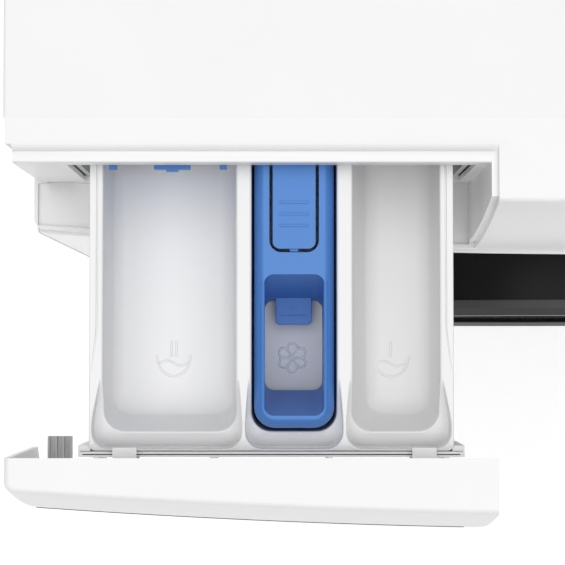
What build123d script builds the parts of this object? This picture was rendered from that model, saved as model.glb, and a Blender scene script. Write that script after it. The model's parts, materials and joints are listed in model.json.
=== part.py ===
from build123d import *
import os
from math import atan2, cos, degrees, radians, sin, sqrt

# Front load washing machine with its detergent drawer pulled out.
# X runs to the machine's right, Y to its back, Z up from the floor, in millimetres.
# Depths are measured back from the front panel's outer face, with the drawer shut.
# Every piece is moved to the frame's origin, and the drawer pulled out, when it is written.

# Overall size
WIDTH = 598
HEIGHT = 848
BODY_DEPTH = 530
SHEET = 1.2
FIT_GAP = 0.3
RUN_GAP = 0.05

# Worktop
WORKTOP_SKIRT = 26
WORKTOP_PLATE = 10
WORKTOP_RIM = 15
WORKTOP_ROUND = 1.5

# Control fascia: a bowed and crowned face that leans forward towards its lower edge
FASCIA_HEIGHT = 113
FASCIA_EDGE_DEPTH = 6.2
FASCIA_LEAN = 15.7
FASCIA_CROWN = 3
FASCIA_BACK = 44.5
BOW_RADIUS = 4160
PLASTIC_WALL = 2.5
EDGE_ROUND = 3
FASCIA_LIP = 1.5
LIP_HEIGHT = 2

# Drawer recess in the fascia
RECESS_EDGE_DEPTH = 32.5
RECESS_STEP = 3.2
RECESS_WALL_DEPTH = 24.4
RECESS_SIDE = 3.8
END_STEP = 0.8
LEDGE_THICKNESS = 8
LEDGE_RIM = 2.5
LEDGE_RIM_WIDTH = 1.8
RECESS_OPENING_TOP = 14
RECESS_OPENING_HEIGHT = 74

# Drawer
DRAWER_TRAVEL = 139
DRAWER_FRONT_WIDTH = 220
DRAWER_FRONT_GAP = 0.6
CORNER_ROUND = 5
TRAY_INSET = 37
TRAY_FRONT = 33.7
TRAY_LENGTH = 182
TRAY_RIM_DROP = 18
TRAY_DEPTH = 50
OUTER_WALL = 6.2
RIB_WALL = 6.9
LEFT_CUP = 60.6
MIDDLE_CUP = 39
RIGHT_CUP = 39.9
FRONT_WALL = 8.5
FRONT_DRAFT = 7
CUP_ROUND = 9
FLOOR_ROUND = 7
CARRIER_OVERHANG = 5
SCOOP_LENGTH = 31.7
SCOOP_FALL = 12
SCOOP_WALL = 1.3
SCOOP_RIDGE = 1.7

# Siphon insert in the middle cup
INSERT_GAP = 1.2
INSERT_LENGTH = 128
INSERT_STAND = 1
INSERT_WALL = 1.8
INSERT_ROUND = 2.5
WINDOW_FRONT = 5
WINDOW_LENGTH = 64
WINDOW_SIDE = 4.6
WELL_DRAFT = 10.5
TONGUE_WIDTH = 19.6
TONGUE_LENGTH = 41.3
TONGUE_SLOT = 1.7
RIDGE_START = 10.6
RIDGE_PITCH = 5.3
RIDGE_HEIGHT = 0.6

# Liquid flap in the left cup
FLAP_DEPTH = 168
FLAP_SCOOP = 6
FLAP_HEIGHT = 40
FLAP_PLATE = 2
FLAP_PIN = 1.5

# Dispenser housing round the tray
HOUSING_SIDE_GAP = 9
HOUSING_FLOOR_GAP = 15
HOUSING_LENGTH = 214
HOUSING_HEADROOM = 3
OUTLET_RADIUS = 22
OUTLET_DEPTH = 150

# Drum, tub and door share one axis
AXIS_DROP = 297
DRUM_SIDE_GAP = 63
DRUM_FRONT = 92
DRUM_LENGTH = 294
DRUM_SHEET = 1.2
DRUM_MOUTH = 174
LIFTER_HEIGHT = 34
LIFTER_COUNT = 3
TUB_GAP = 14
TUB_WALL = 4
TUB_FRONT = 72
TUB_SPLIT = 200
TUB_BACK_GAP = 28
TUB_MOUTH = 181
TUB_FLANGE = 8
SHAFT_RADIUS = 15
BEARING_RADIUS = 26
PULLEY_RADIUS = 140
PULLEY_WIDTH = 16
PULLEY_GAP = 6
MOTOR_PULLEY_RADIUS = 12
MOTOR_X = 60
MOTOR_SHARE = 0.36
MOTOR_RISE = 0.586
MOTOR_LENGTH = 116
MOTOR_ROUND = 6
MOTOR_SHAFT = 6
MOTOR_BORE = 30
BELT_THICKNESS = 3
WEIGHT_DEPTH = 30
WEIGHT_MARGIN = 6
WEIGHT_MOUTH_GAP = 12

# Suspension of the tub
FLOAT_TRAVEL = 8
SPRING_INSET = 37
SPRING_DEPTH = 300
SPRING_RADIUS = 14
SPRING_WIRE = 4
HANGER_DROP = 78
EAR_RISE = 102
EAR_THICKNESS = 12
EAR_ROOT = 0.85
DAMPER_X = 150
DAMPER_DEPTH = 240
DAMPER_RADIUS = 12
DAMPER_ROD = 5
DAMPER_EAR_DROP = 28
DAMPER_EAR_SIZE = 20

# Door
DOOR_RADIUS = 230
DOOR_GAP = 2
DOOR_RING_DEPTH = 30
DOOR_BEZEL_DEPTH = 8.4
DOOR_WALL = 3
COVER_RADIUS = 200
COVER_THICKNESS = 3.5
GLASS_RADIUS = 152
GLASS_THICKNESS = 5
GLASS_REACH = 98
PORTHOLE_RADIUS = 165
HINGE_OFFSET = 9
HINGE_DEPTH = 28
HINGE_PIN_RADIUS = 4
KNUCKLE_RADIUS = 6
KNUCKLE_HEIGHT = 28
LEAF_OUTER = 16
LEAF_INNER = 6
LEAF_ENDS = 34
FIXED_KNUCKLE = 24
HANDLE_HEIGHT = 80
HANDLE_GRIP = 18
HOOK_X = 192
HOOK_HEIGHT = 16
HOOK_WIDTH = 8

# Base and feet
FOOT_RADIUS = 20
FOOT_PAD = 10
FOOT_STUD = 5
FOOT_INSET = 40
BASE_HEIGHT = 16
BASE_FLANGE = 14

# Controls
KNOB_X = 30
KNOB_RADIUS = 24
KNOB_HEIGHT = 17
BUTTON_INSET = 41
BUTTON_RADIUS = 9
BUTTON_STAND = 1.6
BUTTON_LENGTH = 12
CONTROL_DROP = 56
DISPLAY_INSET = 207
DISPLAY_WIDTH = 126
DISPLAY_HEIGHT = 46

# Service corner
SERVICE_X = 200
SERVICE_WIDTH = 100
SERVICE_BOTTOM = 32
SERVICE_HEIGHT = 64
FILTER_RADIUS = 26

# Rear fittings
REAR_FITTING = 16
INLET_X = -225
INLET_DROP = 68
INLET_RADIUS = 13.2
INLET_COLLAR = 3
INLET_COLLAR_STAND = 0.8
GLAND_X = 220
GLAND_DROP = 88
GLAND_RADIUS = 9

# Sizes worked out from the ones above
SIDE = WIDTH / 2
FASCIA_BOTTOM = HEIGHT - FASCIA_HEIGHT
AXIS_HEIGHT = FASCIA_BOTTOM - AXIS_DROP
DRUM_RADIUS = SIDE - DRUM_SIDE_GAP
TRAY_LEFT = -SIDE + TRAY_INSET
SPRING_X = SIDE - SPRING_INSET
HANGER_HEIGHT = HEIGHT - HANGER_DROP
EAR_HEIGHT = AXIS_HEIGHT + EAR_RISE
BUTTON_X = SIDE - BUTTON_INSET
DISPLAY_LEFT = SIDE - DISPLAY_INSET
INLET_HEIGHT = HEIGHT - INLET_DROP
GLAND_HEIGHT = HEIGHT - GLAND_DROP
LEDGE_TOP = FASCIA_BOTTOM + LEDGE_THICKNESS
RIM_TOP = LEDGE_TOP + LEDGE_RIM
DRAWER_LEFT = -SIDE + 1
DRAWER_RIGHT = DRAWER_LEFT + DRAWER_FRONT_WIDTH
DRAWER_BOTTOM = RIM_TOP + DRAWER_FRONT_GAP
DRAWER_BACK = RECESS_EDGE_DEPTH - DRAWER_FRONT_GAP - FIT_GAP
FASCIA_LEFT = DRAWER_RIGHT + DRAWER_FRONT_GAP
RECESS_LEFT = -SIDE + RECESS_SIDE
RECESS_RIGHT = FASCIA_LEFT - 3
RECESS_BACK = RECESS_WALL_DEPTH + PLASTIC_WALL
TRAY_RIM = HEIGHT - TRAY_RIM_DROP
TRAY_FLOOR = TRAY_RIM - TRAY_DEPTH
TRAY_BOTTOM = TRAY_FLOOR - PLASTIC_WALL
LEFT_CUP_X = TRAY_LEFT + OUTER_WALL
MIDDLE_CUP_X = LEFT_CUP_X + LEFT_CUP + RIB_WALL
RIGHT_CUP_X = MIDDLE_CUP_X + MIDDLE_CUP + RIB_WALL
TRAY_RIGHT = RIGHT_CUP_X + RIGHT_CUP + OUTER_WALL
TRAY_BACK = TRAY_FRONT + TRAY_LENGTH
CUP_FRONT = TRAY_FRONT + FRONT_WALL
CUP_BACK = TRAY_BACK - PLASTIC_WALL - 1.5
INSERT_LEFT = MIDDLE_CUP_X + INSERT_GAP
INSERT_RIGHT = MIDDLE_CUP_X + MIDDLE_CUP - INSERT_GAP
INSERT_X = (INSERT_LEFT + INSERT_RIGHT) / 2
INSERT_FRONT = CUP_FRONT + INSERT_GAP + 1.4
INSERT_BACK = INSERT_FRONT + INSERT_LENGTH
INSERT_TOP = TRAY_RIM + INSERT_STAND
TONGUE_BACK = INSERT_BACK - 6
HOUSING_LEFT = TRAY_LEFT - HOUSING_SIDE_GAP
HOUSING_RIGHT = TRAY_RIGHT + HOUSING_SIDE_GAP
HOUSING_FRONT = RECESS_BACK
HOUSING_BACK = HOUSING_FRONT + HOUSING_LENGTH
HOUSING_TOP = INSERT_TOP + HOUSING_HEADROOM
HOUSING_FLOOR = TRAY_BOTTOM - HOUSING_FLOOR_GAP
OUTLET_X = (TRAY_LEFT + TRAY_RIGHT) / 2
OUTLET_BOTTOM = HOUSING_FLOOR - PLASTIC_WALL - 22
DRUM_BACK = DRUM_FRONT + DRUM_LENGTH
TUB_INNER = DRUM_RADIUS + TUB_GAP
TUB_RADIUS = TUB_INNER + TUB_WALL
TUB_BACK = DRUM_BACK + TUB_BACK_GAP
HUB_FRONT = TUB_BACK - 10
HUB_BACK = TUB_BACK + 32
PULLEY_FRONT = HUB_BACK + PULLEY_GAP
PULLEY_BACK = PULLEY_FRONT + PULLEY_WIDTH
DOOR_BACK = -DOOR_GAP
DOOR_MIDDLE = DOOR_BACK - DOOR_RING_DEPTH
DOOR_FRONT = DOOR_MIDDLE - DOOR_BEZEL_DEPTH
HINGE_X = -DOOR_RADIUS - HINGE_OFFSET
GLASS_SEAT = DOOR_BACK - 13
BASE_TOP = BASE_HEIGHT + SHEET
UNDER_TUB = AXIS_HEIGHT - TUB_RADIUS - BASE_TOP
MOTOR_RADIUS = MOTOR_SHARE * UNDER_TUB
MOTOR_HEIGHT = BASE_TOP + MOTOR_RISE * UNDER_TUB
DAMPER_EAR = AXIS_HEIGHT - sqrt(TUB_RADIUS**2 - DAMPER_X**2) - DAMPER_EAR_DROP
SIDE_INNER = SIDE - SHEET
BOTTOM = (Align.CENTER, Align.CENTER, Align.MIN)


def box(x0, x1, y0, y1, z0, z1):
    """Box between two corners."""
    return Pos((x0 + x1) / 2, (y0 + y1) / 2, (z0 + z1) / 2) * Box(x1 - x0, y1 - y0, z1 - z0)


def rod_y(x, z, y0, y1, radius):
    """Round bar that runs from front to back."""
    return Pos(x, y0, z) * Rot(-90, 0, 0) * Cylinder(radius, y1 - y0, align=BOTTOM)


def rod_z(x, y, z0, z1, radius):
    """Upright round bar."""
    return Pos(x, y, z0) * Cylinder(radius, z1 - z0, align=BOTTOM)


def ring_y(x, z, y0, y1, outer, inner):
    """Ring round an axis that runs from front to back."""
    return rod_y(x, z, y0, y1, outer) - rod_y(x, z, y0 - 1, y1 + 1, inner)


def turned(points):
    """Body turned about the drum axis from its outline of (radius, depth) points."""
    outline = make_face(Polyline(*points, close=True))
    return Pos(0, 0, AXIS_HEIGHT) * revolve(outline, Axis.Y)


def along_x(points, x0, x1):
    """Bar along X from its outline of (depth, height) points."""
    outline = make_face(Polyline(*[(0, y, z) for y, z in points], close=True))
    return Pos(x0, 0, 0) * extrude(outline, amount=x1 - x0, dir=(1, 0, 0))


def bow(x):
    """How far the fascia's face falls back at a distance from the middle of the machine."""
    return BOW_RADIUS - sqrt(BOW_RADIUS**2 - x**2)


def face_depth(x, z):
    """Depth of the fascia's face."""
    fall = (HEIGHT - z) / FASCIA_HEIGHT
    crown = 4 * FASCIA_CROWN * fall * (1 - fall)
    return FASCIA_EDGE_DEPTH - FASCIA_LEAN * fall - crown + bow(x)


def face_block(x0, x1, z0, z1, inset, back):
    """Block from the fascia's face, set in by a distance, to a plane behind it."""
    def outline(z):
        front = [(x, face_depth(x, z) + inset, z) for x in (x0, (x0 + x1) / 2, x1)]
        arc = ThreePointArc(*front)
        sides = Polyline(front[2], (x1, back, z), (x0, back, z), front[0])
        return Wire(arc.edges() + sides.edges())
    return Part() + Solid.make_loft([outline(z0), outline((z0 + z1) / 2), outline(z1)])


def face_skin(x0, x1, z0, z1, outer, inner):
    """Slab that follows the fascia's face between two insets."""
    behind = FASCIA_BACK
    return face_block(x0, x1, z0, z1, outer, behind) - face_block(x0 - 1, x1 + 1, z0 - 1, z1 + 1, inner, behind + 1)


def face_plane(x, drop):
    """Plane on the fascia's face, with its Z axis pointing out of the face."""
    z = HEIGHT - drop
    lean = atan2(FASCIA_LEAN, FASCIA_HEIGHT)
    return Plane((x, face_depth(x, z), z), x_dir=(1, 0, 0), z_dir=(0, -cos(lean), sin(lean)))


def front_top_edges(part, height):
    """Edges along the front of a part at a height."""
    level = part.edges().filter_by(lambda e: abs(e.center().Z - height) < 0.01 and e.length > 50)
    return level.sort_by(Axis.Y)[:1]


def upright_edge(part, left):
    """The upright edge at the front left or front right corner of a part."""
    ends = part.edges().filter_by(lambda e: abs(e.tangent_at(0.5).Z) > 0.9)
    side = ends.sort_by(Axis.X)[:2] if left else ends.sort_by(Axis.X)[-2:]
    return side.sort_by(Axis.Y)[:1]


def worktop():
    """Lid board with a skirt at the sides and the back, open towards the fascia."""
    front = FASCIA_BACK + FIT_GAP
    board = box(-SIDE, SIDE, front, BODY_DEPTH, HEIGHT - WORKTOP_SKIRT, HEIGHT)
    board = fillet(board.edges().filter_by(Axis.Z).group_by(Axis.Y)[-1], CORNER_ROUND)
    sharp = board.faces().sort_by(Axis.Z)[-1].edges().sort_by(Axis.Y)[1:]
    board = fillet(sharp, WORKTOP_ROUND)
    inside = box(-SIDE + WORKTOP_RIM, SIDE - WORKTOP_RIM, front - 1, BODY_DEPTH - WORKTOP_RIM,
                 HEIGHT - WORKTOP_SKIRT - 1, HEIGHT - WORKTOP_PLATE)
    return board - inside


def control_fascia():
    """Shell of the control panel with the drawer recess at its left end."""
    shell = face_block(FASCIA_LEFT, SIDE, FASCIA_BOTTOM, HEIGHT, 0, FASCIA_BACK)
    shell = fillet(upright_edge(shell, False), CORNER_ROUND)
    shell = fillet(front_top_edges(shell, HEIGHT), EDGE_ROUND)
    shell -= face_block(FASCIA_LEFT + PLASTIC_WALL, SIDE - PLASTIC_WALL, FASCIA_BOTTOM + PLASTIC_WALL,
                        HEIGHT - PLASTIC_WALL, PLASTIC_WALL, FASCIA_BACK + 1)
    step = HEIGHT - RECESS_STEP
    wall = PLASTIC_WALL
    frame = along_x([(FASCIA_BACK, HEIGHT), (RECESS_EDGE_DEPTH, HEIGHT), (RECESS_EDGE_DEPTH - RECESS_STEP, step),
                     (RECESS_WALL_DEPTH, step), (RECESS_WALL_DEPTH, LEDGE_TOP), (RECESS_BACK, LEDGE_TOP),
                     (RECESS_BACK, step - wall), (RECESS_EDGE_DEPTH - RECESS_STEP + wall / 2, step - wall),
                     (RECESS_EDGE_DEPTH + wall / 2, HEIGHT - wall), (FASCIA_BACK, HEIGHT - wall)],
                    RECESS_LEFT, FASCIA_LEFT + 1)
    lip = front_top_edges(frame, step)
    frame = fillet(lip, 1)
    end_plate = box(-SIDE + END_STEP, RECESS_LEFT, RECESS_EDGE_DEPTH, FASCIA_BACK, RIM_TOP, HEIGHT)
    end_plate += box(-SIDE, RECESS_LEFT, RECESS_BACK - 1, FASCIA_BACK, FASCIA_BOTTOM, RIM_TOP)
    opening = box(HOUSING_LEFT - 1, HOUSING_RIGHT + 1, RECESS_WALL_DEPTH - 1, RECESS_BACK + 1,
                  HEIGHT - RECESS_OPENING_TOP - RECESS_OPENING_HEIGHT, HEIGHT - RECESS_OPENING_TOP)
    slot = guide_tongue_space()
    ledge = face_block(-SIDE, FASCIA_LEFT + 1, FASCIA_BOTTOM, RIM_TOP, 0, RECESS_BACK)
    ledge = fillet(upright_edge(ledge, True), CORNER_ROUND)
    ledge -= face_block(-SIDE + LEDGE_RIM_WIDTH, RECESS_RIGHT, LEDGE_TOP, RIM_TOP + 1, LEDGE_RIM_WIDTH,
                        RECESS_WALL_DEPTH)
    cheek = face_block(RECESS_RIGHT, FASCIA_LEFT + 1, RIM_TOP, step, PLASTIC_WALL + DRAWER_FRONT_GAP, RECESS_BACK)
    lower_lip = face_skin(-SIDE + CORNER_ROUND, SIDE - CORNER_ROUND, FASCIA_BOTTOM, FASCIA_BOTTOM + LIP_HEIGHT,
                          -FASCIA_LIP, 1)
    panel = shell + frame + end_plate + ledge + cheek + lower_lip - opening - slot
    panel -= display_space(FIT_GAP)
    panel -= face_plane(KNOB_X, CONTROL_DROP) * Cylinder(6, 40)
    panel -= face_plane(BUTTON_X, CONTROL_DROP) * Cylinder(BUTTON_RADIUS + FIT_GAP, 40)
    return panel


def drawer_front():
    """Hollow front of the drawer, with the carrier that the tray hooks on."""
    shell = face_block(DRAWER_LEFT, DRAWER_RIGHT, DRAWER_BOTTOM, HEIGHT, 0, DRAWER_BACK)
    shell = fillet(upright_edge(shell, True), CORNER_ROUND)
    shell = fillet(front_top_edges(shell, HEIGHT), EDGE_ROUND)
    shell -= face_block(DRAWER_LEFT + PLASTIC_WALL, DRAWER_RIGHT + 1, DRAWER_BOTTOM - 1, HEIGHT - PLASTIC_WALL,
                        PLASTIC_WALL, DRAWER_BACK + 1)
    bevel = PLASTIC_WALL + 0.5
    shell -= along_x([(DRAWER_BACK + 1, HEIGHT + 1), (DRAWER_BACK + 1, HEIGHT - bevel),
                      (DRAWER_BACK - bevel, HEIGHT - bevel)],
                     DRAWER_LEFT + PLASTIC_WALL, DRAWER_RIGHT + 1)
    tail = 8
    shell -= along_x([(DRAWER_BACK + 1, DRAWER_BOTTOM - 1), (DRAWER_BACK + 1, DRAWER_BOTTOM + tail),
                      (DRAWER_BACK - tail, DRAWER_BOTTOM - 1)], DRAWER_LEFT - 1, DRAWER_LEFT + PLASTIC_WALL + 1)
    groove_height = DRAWER_BOTTOM + 3
    shell -= face_skin(DRAWER_LEFT + 14, DRAWER_RIGHT - 5, groove_height, groove_height + 1, -1, 1)
    shell += face_skin(DRAWER_LEFT + 10, DRAWER_RIGHT, DRAWER_BOTTOM, groove_height, -FASCIA_LIP / 3, 1)
    carrier_left = TRAY_LEFT - CARRIER_OVERHANG
    carrier_right = TRAY_RIGHT + CARRIER_OVERHANG
    plate_front = TRAY_FRONT - FIT_GAP - PLASTIC_WALL
    low = TRAY_FLOOR + 8
    high = TRAY_RIM - 2
    plate = box(carrier_left, carrier_right, plate_front, plate_front + PLASTIC_WALL, low, high)
    for part in range(4):
        x = carrier_left + 8 + part * (carrier_right - carrier_left - 16) / 3
        plate += face_block(x - 1.25, x + 1.25, low, high, PLASTIC_WALL - 1, plate_front + 1)
    return shell + plate


def guide_tongue_sizes():
    """Left, right, front, back and bottom of the guide tongue."""
    left = RECESS_LEFT + 4.2
    front = face_depth(left, DRAWER_BOTTOM + 6) + PLASTIC_WALL
    return left, left + 12, front, DRAWER_BACK + 5, DRAWER_BOTTOM + 0.4


def guide_tongue():
    """Ribbed tongue that guides the drawer front into the recess."""
    left, right, front, back, bottom = guide_tongue_sizes()
    tongue = box(left, right, front, back, bottom, bottom + 3)
    for rib in range(4):
        x = left + rib * (right - left - 1.2) / 3
        tongue += box(x, x + 1.2, front, back, bottom + 2, bottom + 4.5)
    return tongue


def guide_tongue_space():
    """Slot for the guide tongue in the back wall of the recess."""
    left, right, front, back, bottom = guide_tongue_sizes()
    return box(left - 1, right + 1, RECESS_WALL_DEPTH - 1, RECESS_BACK + 1, LEDGE_TOP + 0.5, bottom + 5.5)


def front_clips():
    """Two spring clips that hold the tray's front wall to the carrier."""
    clips = Part()
    for x in (TRAY_LEFT + 16.4, TRAY_RIGHT - 13.6):
        top = TRAY_RIM + 0.4
        half = 5.5
        arm = box(x - half, x + half, DRAWER_BACK - 12, TRAY_FRONT + 1.6, top, top + 1.6)
        leg = box(x - half, x + half, DRAWER_BACK - 12, DRAWER_BACK - 10.4, top - 16, top)
        foot = box(x - half, x + half, DRAWER_BACK - 12, TRAY_FRONT - FIT_GAP - PLASTIC_WALL, top - 16, top - 14.4)
        clips += arm + leg + foot
    return clips


def cup(x0, x1, floor_x0, floor_x1, front_draft, round_floor):
    """Space of one compartment, drawn in towards its floor."""
    top = TRAY_RIM + 1
    mouth = Pos((x0 + x1) / 2, (CUP_FRONT + CUP_BACK) / 2, top)
    mouth *= RectangleRounded(x1 - x0, CUP_BACK - CUP_FRONT, CUP_ROUND)
    front = CUP_FRONT + front_draft
    back = CUP_BACK - 3
    base = Pos((floor_x0 + floor_x1) / 2, (front + back) / 2, TRAY_FLOOR)
    base *= RectangleRounded(floor_x1 - floor_x0, back - front, CUP_ROUND)
    space = Part() + Solid.make_loft([base.wire(), mouth.wire()], True)
    return fillet(space.faces().sort_by(Axis.Z)[0].edges(), round_floor)


def scoop(x0, x1):
    """Hollow round the front of a compartment, which falls towards the drawer front."""
    front = TRAY_FRONT + SCOOP_WALL
    back = TRAY_FRONT + SCOOP_LENGTH
    low = TRAY_RIM - SCOOP_FALL
    middle = (0, back - 0.45 * SCOOP_LENGTH, TRAY_RIM - 0.7 * SCOOP_FALL)
    fall = ThreePointArc((0, back, TRAY_RIM), middle, (0, front, low))
    sides = Polyline((0, front, low), (0, front, TRAY_RIM + 1), (0, back, TRAY_RIM + 1), (0, back, TRAY_RIM))
    outline = make_face(Wire(fall.edges() + sides.edges()))
    space = Pos(x0, 0, 0) * extrude(outline, amount=x1 - x0, dir=(1, 0, 0))
    return fillet(space.edges().filter_by(Axis.Z).group_by(Axis.Y)[0], CUP_ROUND - 1)


def drawer_tray():
    """Tray with three compartments, hollows round their fronts and a stepped rim."""
    body = box(TRAY_LEFT, TRAY_RIGHT, TRAY_FRONT, TRAY_BACK, TRAY_BOTTOM, TRAY_RIM)
    body = fillet(body.edges().filter_by(Axis.Z), 3)
    body = fillet(body.faces().sort_by(Axis.Z)[0].edges(), 2)
    left_end = LEFT_CUP_X + LEFT_CUP
    middle_end = MIDDLE_CUP_X + MIDDLE_CUP
    right_end = RIGHT_CUP_X + RIGHT_CUP
    cups = cup(LEFT_CUP_X, left_end, LEFT_CUP_X + 0.4, left_end - 2.5, FRONT_DRAFT, FLOOR_ROUND)
    cups += cup(MIDDLE_CUP_X, middle_end, MIDDLE_CUP_X + 0.6, middle_end - 0.6, 1, 3)
    cups += cup(RIGHT_CUP_X, right_end, RIGHT_CUP_X + 8.7, right_end - 1, FRONT_DRAFT, FLOOR_ROUND)
    half = SCOOP_RIDGE / 2
    first_rib = (left_end + MIDDLE_CUP_X) / 2
    second_rib = (middle_end + RIGHT_CUP_X) / 2
    cups += scoop(TRAY_LEFT + SCOOP_WALL, first_rib - half)
    cups += scoop(first_rib + half, second_rib - half)
    cups += scoop(second_rib + half, TRAY_RIGHT - SCOOP_WALL)
    step_front = TRAY_FRONT + 41
    steps = Part()
    for x0 in (TRAY_LEFT - 1, TRAY_RIGHT - 3.4):
        steps += box(x0, x0 + 4.4, step_front, TRAY_BACK + 1, TRAY_RIM - 1.2, TRAY_RIM + 1)
    lip = box(TRAY_LEFT - CARRIER_OVERHANG, TRAY_RIGHT + CARRIER_OVERHANG, TRAY_FRONT, TRAY_FRONT + 2.4,
              TRAY_FLOOR + 8, TRAY_RIM - 2)
    drain = Part()
    for x in (LEFT_CUP_X + LEFT_CUP / 2, MIDDLE_CUP_X + MIDDLE_CUP / 2, RIGHT_CUP_X + RIGHT_CUP / 2):
        drain += box(x - 9, x + 9, CUP_BACK - 6, TRAY_BACK + 1, TRAY_FLOOR + 2, TRAY_FLOOR + 12)
    return body + lip - cups - steps - drain


def siphon_insert():
    """Cover of the middle compartment: a skirt, a top with a dosing window, and its well."""
    low = TRAY_FLOOR + 6
    width = INSERT_RIGHT - INSERT_LEFT
    middle = (INSERT_FRONT + INSERT_BACK) / 2
    outline = Pos(INSERT_X, middle, low) * RectangleRounded(width, INSERT_LENGTH, CUP_ROUND)
    block = extrude(outline, amount=INSERT_TOP - low)
    block = fillet(block.faces().sort_by(Axis.Z)[-1].edges(), INSERT_ROUND)
    inner = RectangleRounded(width - 2 * INSERT_WALL, INSERT_LENGTH - 2 * INSERT_WALL, CUP_ROUND - INSERT_WALL)
    block -= extrude(Pos(INSERT_X, middle, low - 1) * inner, amount=INSERT_TOP - INSERT_WALL - low + 1)
    block = block + window_well(INSERT_WALL, INSERT_TOP - 0.5) - window_well(0, INSERT_TOP + 1)
    window_back = INSERT_FRONT + WINDOW_FRONT + WINDOW_LENGTH - WELL_DRAFT
    block += box(INSERT_X - 8, INSERT_X + 8, window_back - 11, window_back + 1, low + 2, low + 4)
    half = TONGUE_WIDTH / 2 + TONGUE_SLOT
    front = TONGUE_BACK - TONGUE_LENGTH - TONGUE_SLOT
    block -= box(INSERT_X - half, INSERT_X + half, front, TONGUE_BACK + FIT_GAP, INSERT_TOP - 6, INSERT_TOP + 1)
    return block


def window_well(wall, top):
    """Funnel under the dosing window, with a wall's thickness added all round."""
    low = TRAY_FLOOR + 6 - (0 if wall else 1)
    left = INSERT_LEFT + WINDOW_SIDE - wall
    right = INSERT_RIGHT - WINDOW_SIDE + wall
    front = INSERT_FRONT + WINDOW_FRONT - wall
    back = INSERT_FRONT + WINDOW_FRONT + WINDOW_LENGTH + wall
    mouth = Pos((left + right) / 2, (front + back) / 2, top) * RectangleRounded(right - left, back - front, 4)
    neck_length = back - front - 2 * WELL_DRAFT
    neck = Pos((left + right) / 2, (front + back) / 2, low) * RectangleRounded(right - left, neck_length, 3)
    return Part() + Solid.make_loft([neck.wire(), mouth.wire()], True)


def release_tongue():
    """Sprung tongue that is pressed to free the drawer, with three finger ridges and a catch at its tip."""
    half = TONGUE_WIDTH / 2
    front = TONGUE_BACK - TONGUE_LENGTH
    plate = box(INSERT_X - half, INSERT_X + half, front, TONGUE_BACK, INSERT_TOP - INSERT_WALL, INSERT_TOP)
    plate = fillet(plate.edges().filter_by(Axis.Z).group_by(Axis.Y)[0], 3.5)
    for ridge in range(3):
        y = front + RIDGE_START + ridge * RIDGE_PITCH
        plate += box(INSERT_X - half + 3.2, INSERT_X + half - 3.2, y - 0.5, y + 0.5, INSERT_TOP - 0.5,
                     INSERT_TOP + RIDGE_HEIGHT)
    return plate + box(INSERT_X - 2, INSERT_X + 2, front - 1.2, front + 1, INSERT_TOP - INSERT_WALL, INSERT_TOP - 0.6)


def liquid_flap():
    """Flap across the left compartment that holds back liquid, hung on two pins."""
    left = LEFT_CUP_X + 2.4
    right = LEFT_CUP_X + LEFT_CUP - 4.4
    top = TRAY_RIM - 2
    plate = box(left, right, FLAP_DEPTH, FLAP_DEPTH + FLAP_PLATE, top - FLAP_HEIGHT, top)
    pin_height = top - FLAP_PIN
    pin = Pos(0, FLAP_DEPTH + FLAP_PLATE / 2, pin_height) * Rot(0, 90, 0)
    reach = LEFT_CUP - 2 * FIT_GAP
    pins = Pos(LEFT_CUP_X + LEFT_CUP / 2, 0, 0) * pin * Cylinder(FLAP_PIN, reach)
    front = FLAP_DEPTH - FLAP_SCOOP
    scoop = box(LEFT_CUP_X + 23, LEFT_CUP_X + 39.5, front, FLAP_DEPTH, top - 4, top + 1)
    tab = box(LEFT_CUP_X + 28.5, LEFT_CUP_X + 34, front - 1, front, top - 3, top + 1)
    hooks = box(left, left + 3.6, front, FLAP_DEPTH, top - 3, top + 1)
    hooks += box(right - 3.2, right, front, FLAP_DEPTH, top - 3, top + 1)
    return plate + pins + scoop + tab + hooks


def dispenser_housing():
    """Box round the tray with runners for it and an outlet below."""
    wall = PLASTIC_WALL
    outer = box(HOUSING_LEFT, HOUSING_RIGHT, HOUSING_FRONT, HOUSING_BACK, HOUSING_FLOOR - wall, HOUSING_TOP)
    inner = box(HOUSING_LEFT + wall, HOUSING_RIGHT - wall, HOUSING_FRONT - 1, HOUSING_BACK - wall,
                HOUSING_FLOOR, HOUSING_TOP + 1)
    shell = outer - inner
    for x in (TRAY_LEFT + 12, OUTLET_X + 30, TRAY_RIGHT - 12):
        shell += box(x - 2, x + 2, HOUSING_FRONT, HOUSING_BACK - 1, HOUSING_FLOOR - 1, TRAY_BOTTOM - FIT_GAP)
    shell += rod_z(OUTLET_X, OUTLET_DEPTH, OUTLET_BOTTOM, HOUSING_FLOOR - wall + 0.5, OUTLET_RADIUS)
    return shell - rod_z(OUTLET_X, OUTLET_DEPTH, OUTLET_BOTTOM - 1, HOUSING_FLOOR + 1, OUTLET_RADIUS - wall)


def dispenser_lid():
    """Lid of the dispenser with the water channels moulded on it."""
    top = HEIGHT - WORKTOP_PLATE - 0.5
    low = HOUSING_TOP
    lid = box(HOUSING_LEFT, HOUSING_RIGHT, FASCIA_BACK + 1, HOUSING_BACK, low, low + 2)
    for x in (LEFT_CUP_X + LEFT_CUP / 2, INSERT_X, RIGHT_CUP_X + RIGHT_CUP / 2):
        lid += box(x - 5, x + 5, FASCIA_BACK + 12, HOUSING_BACK - 10, low + 1, top)
    return lid


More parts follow.
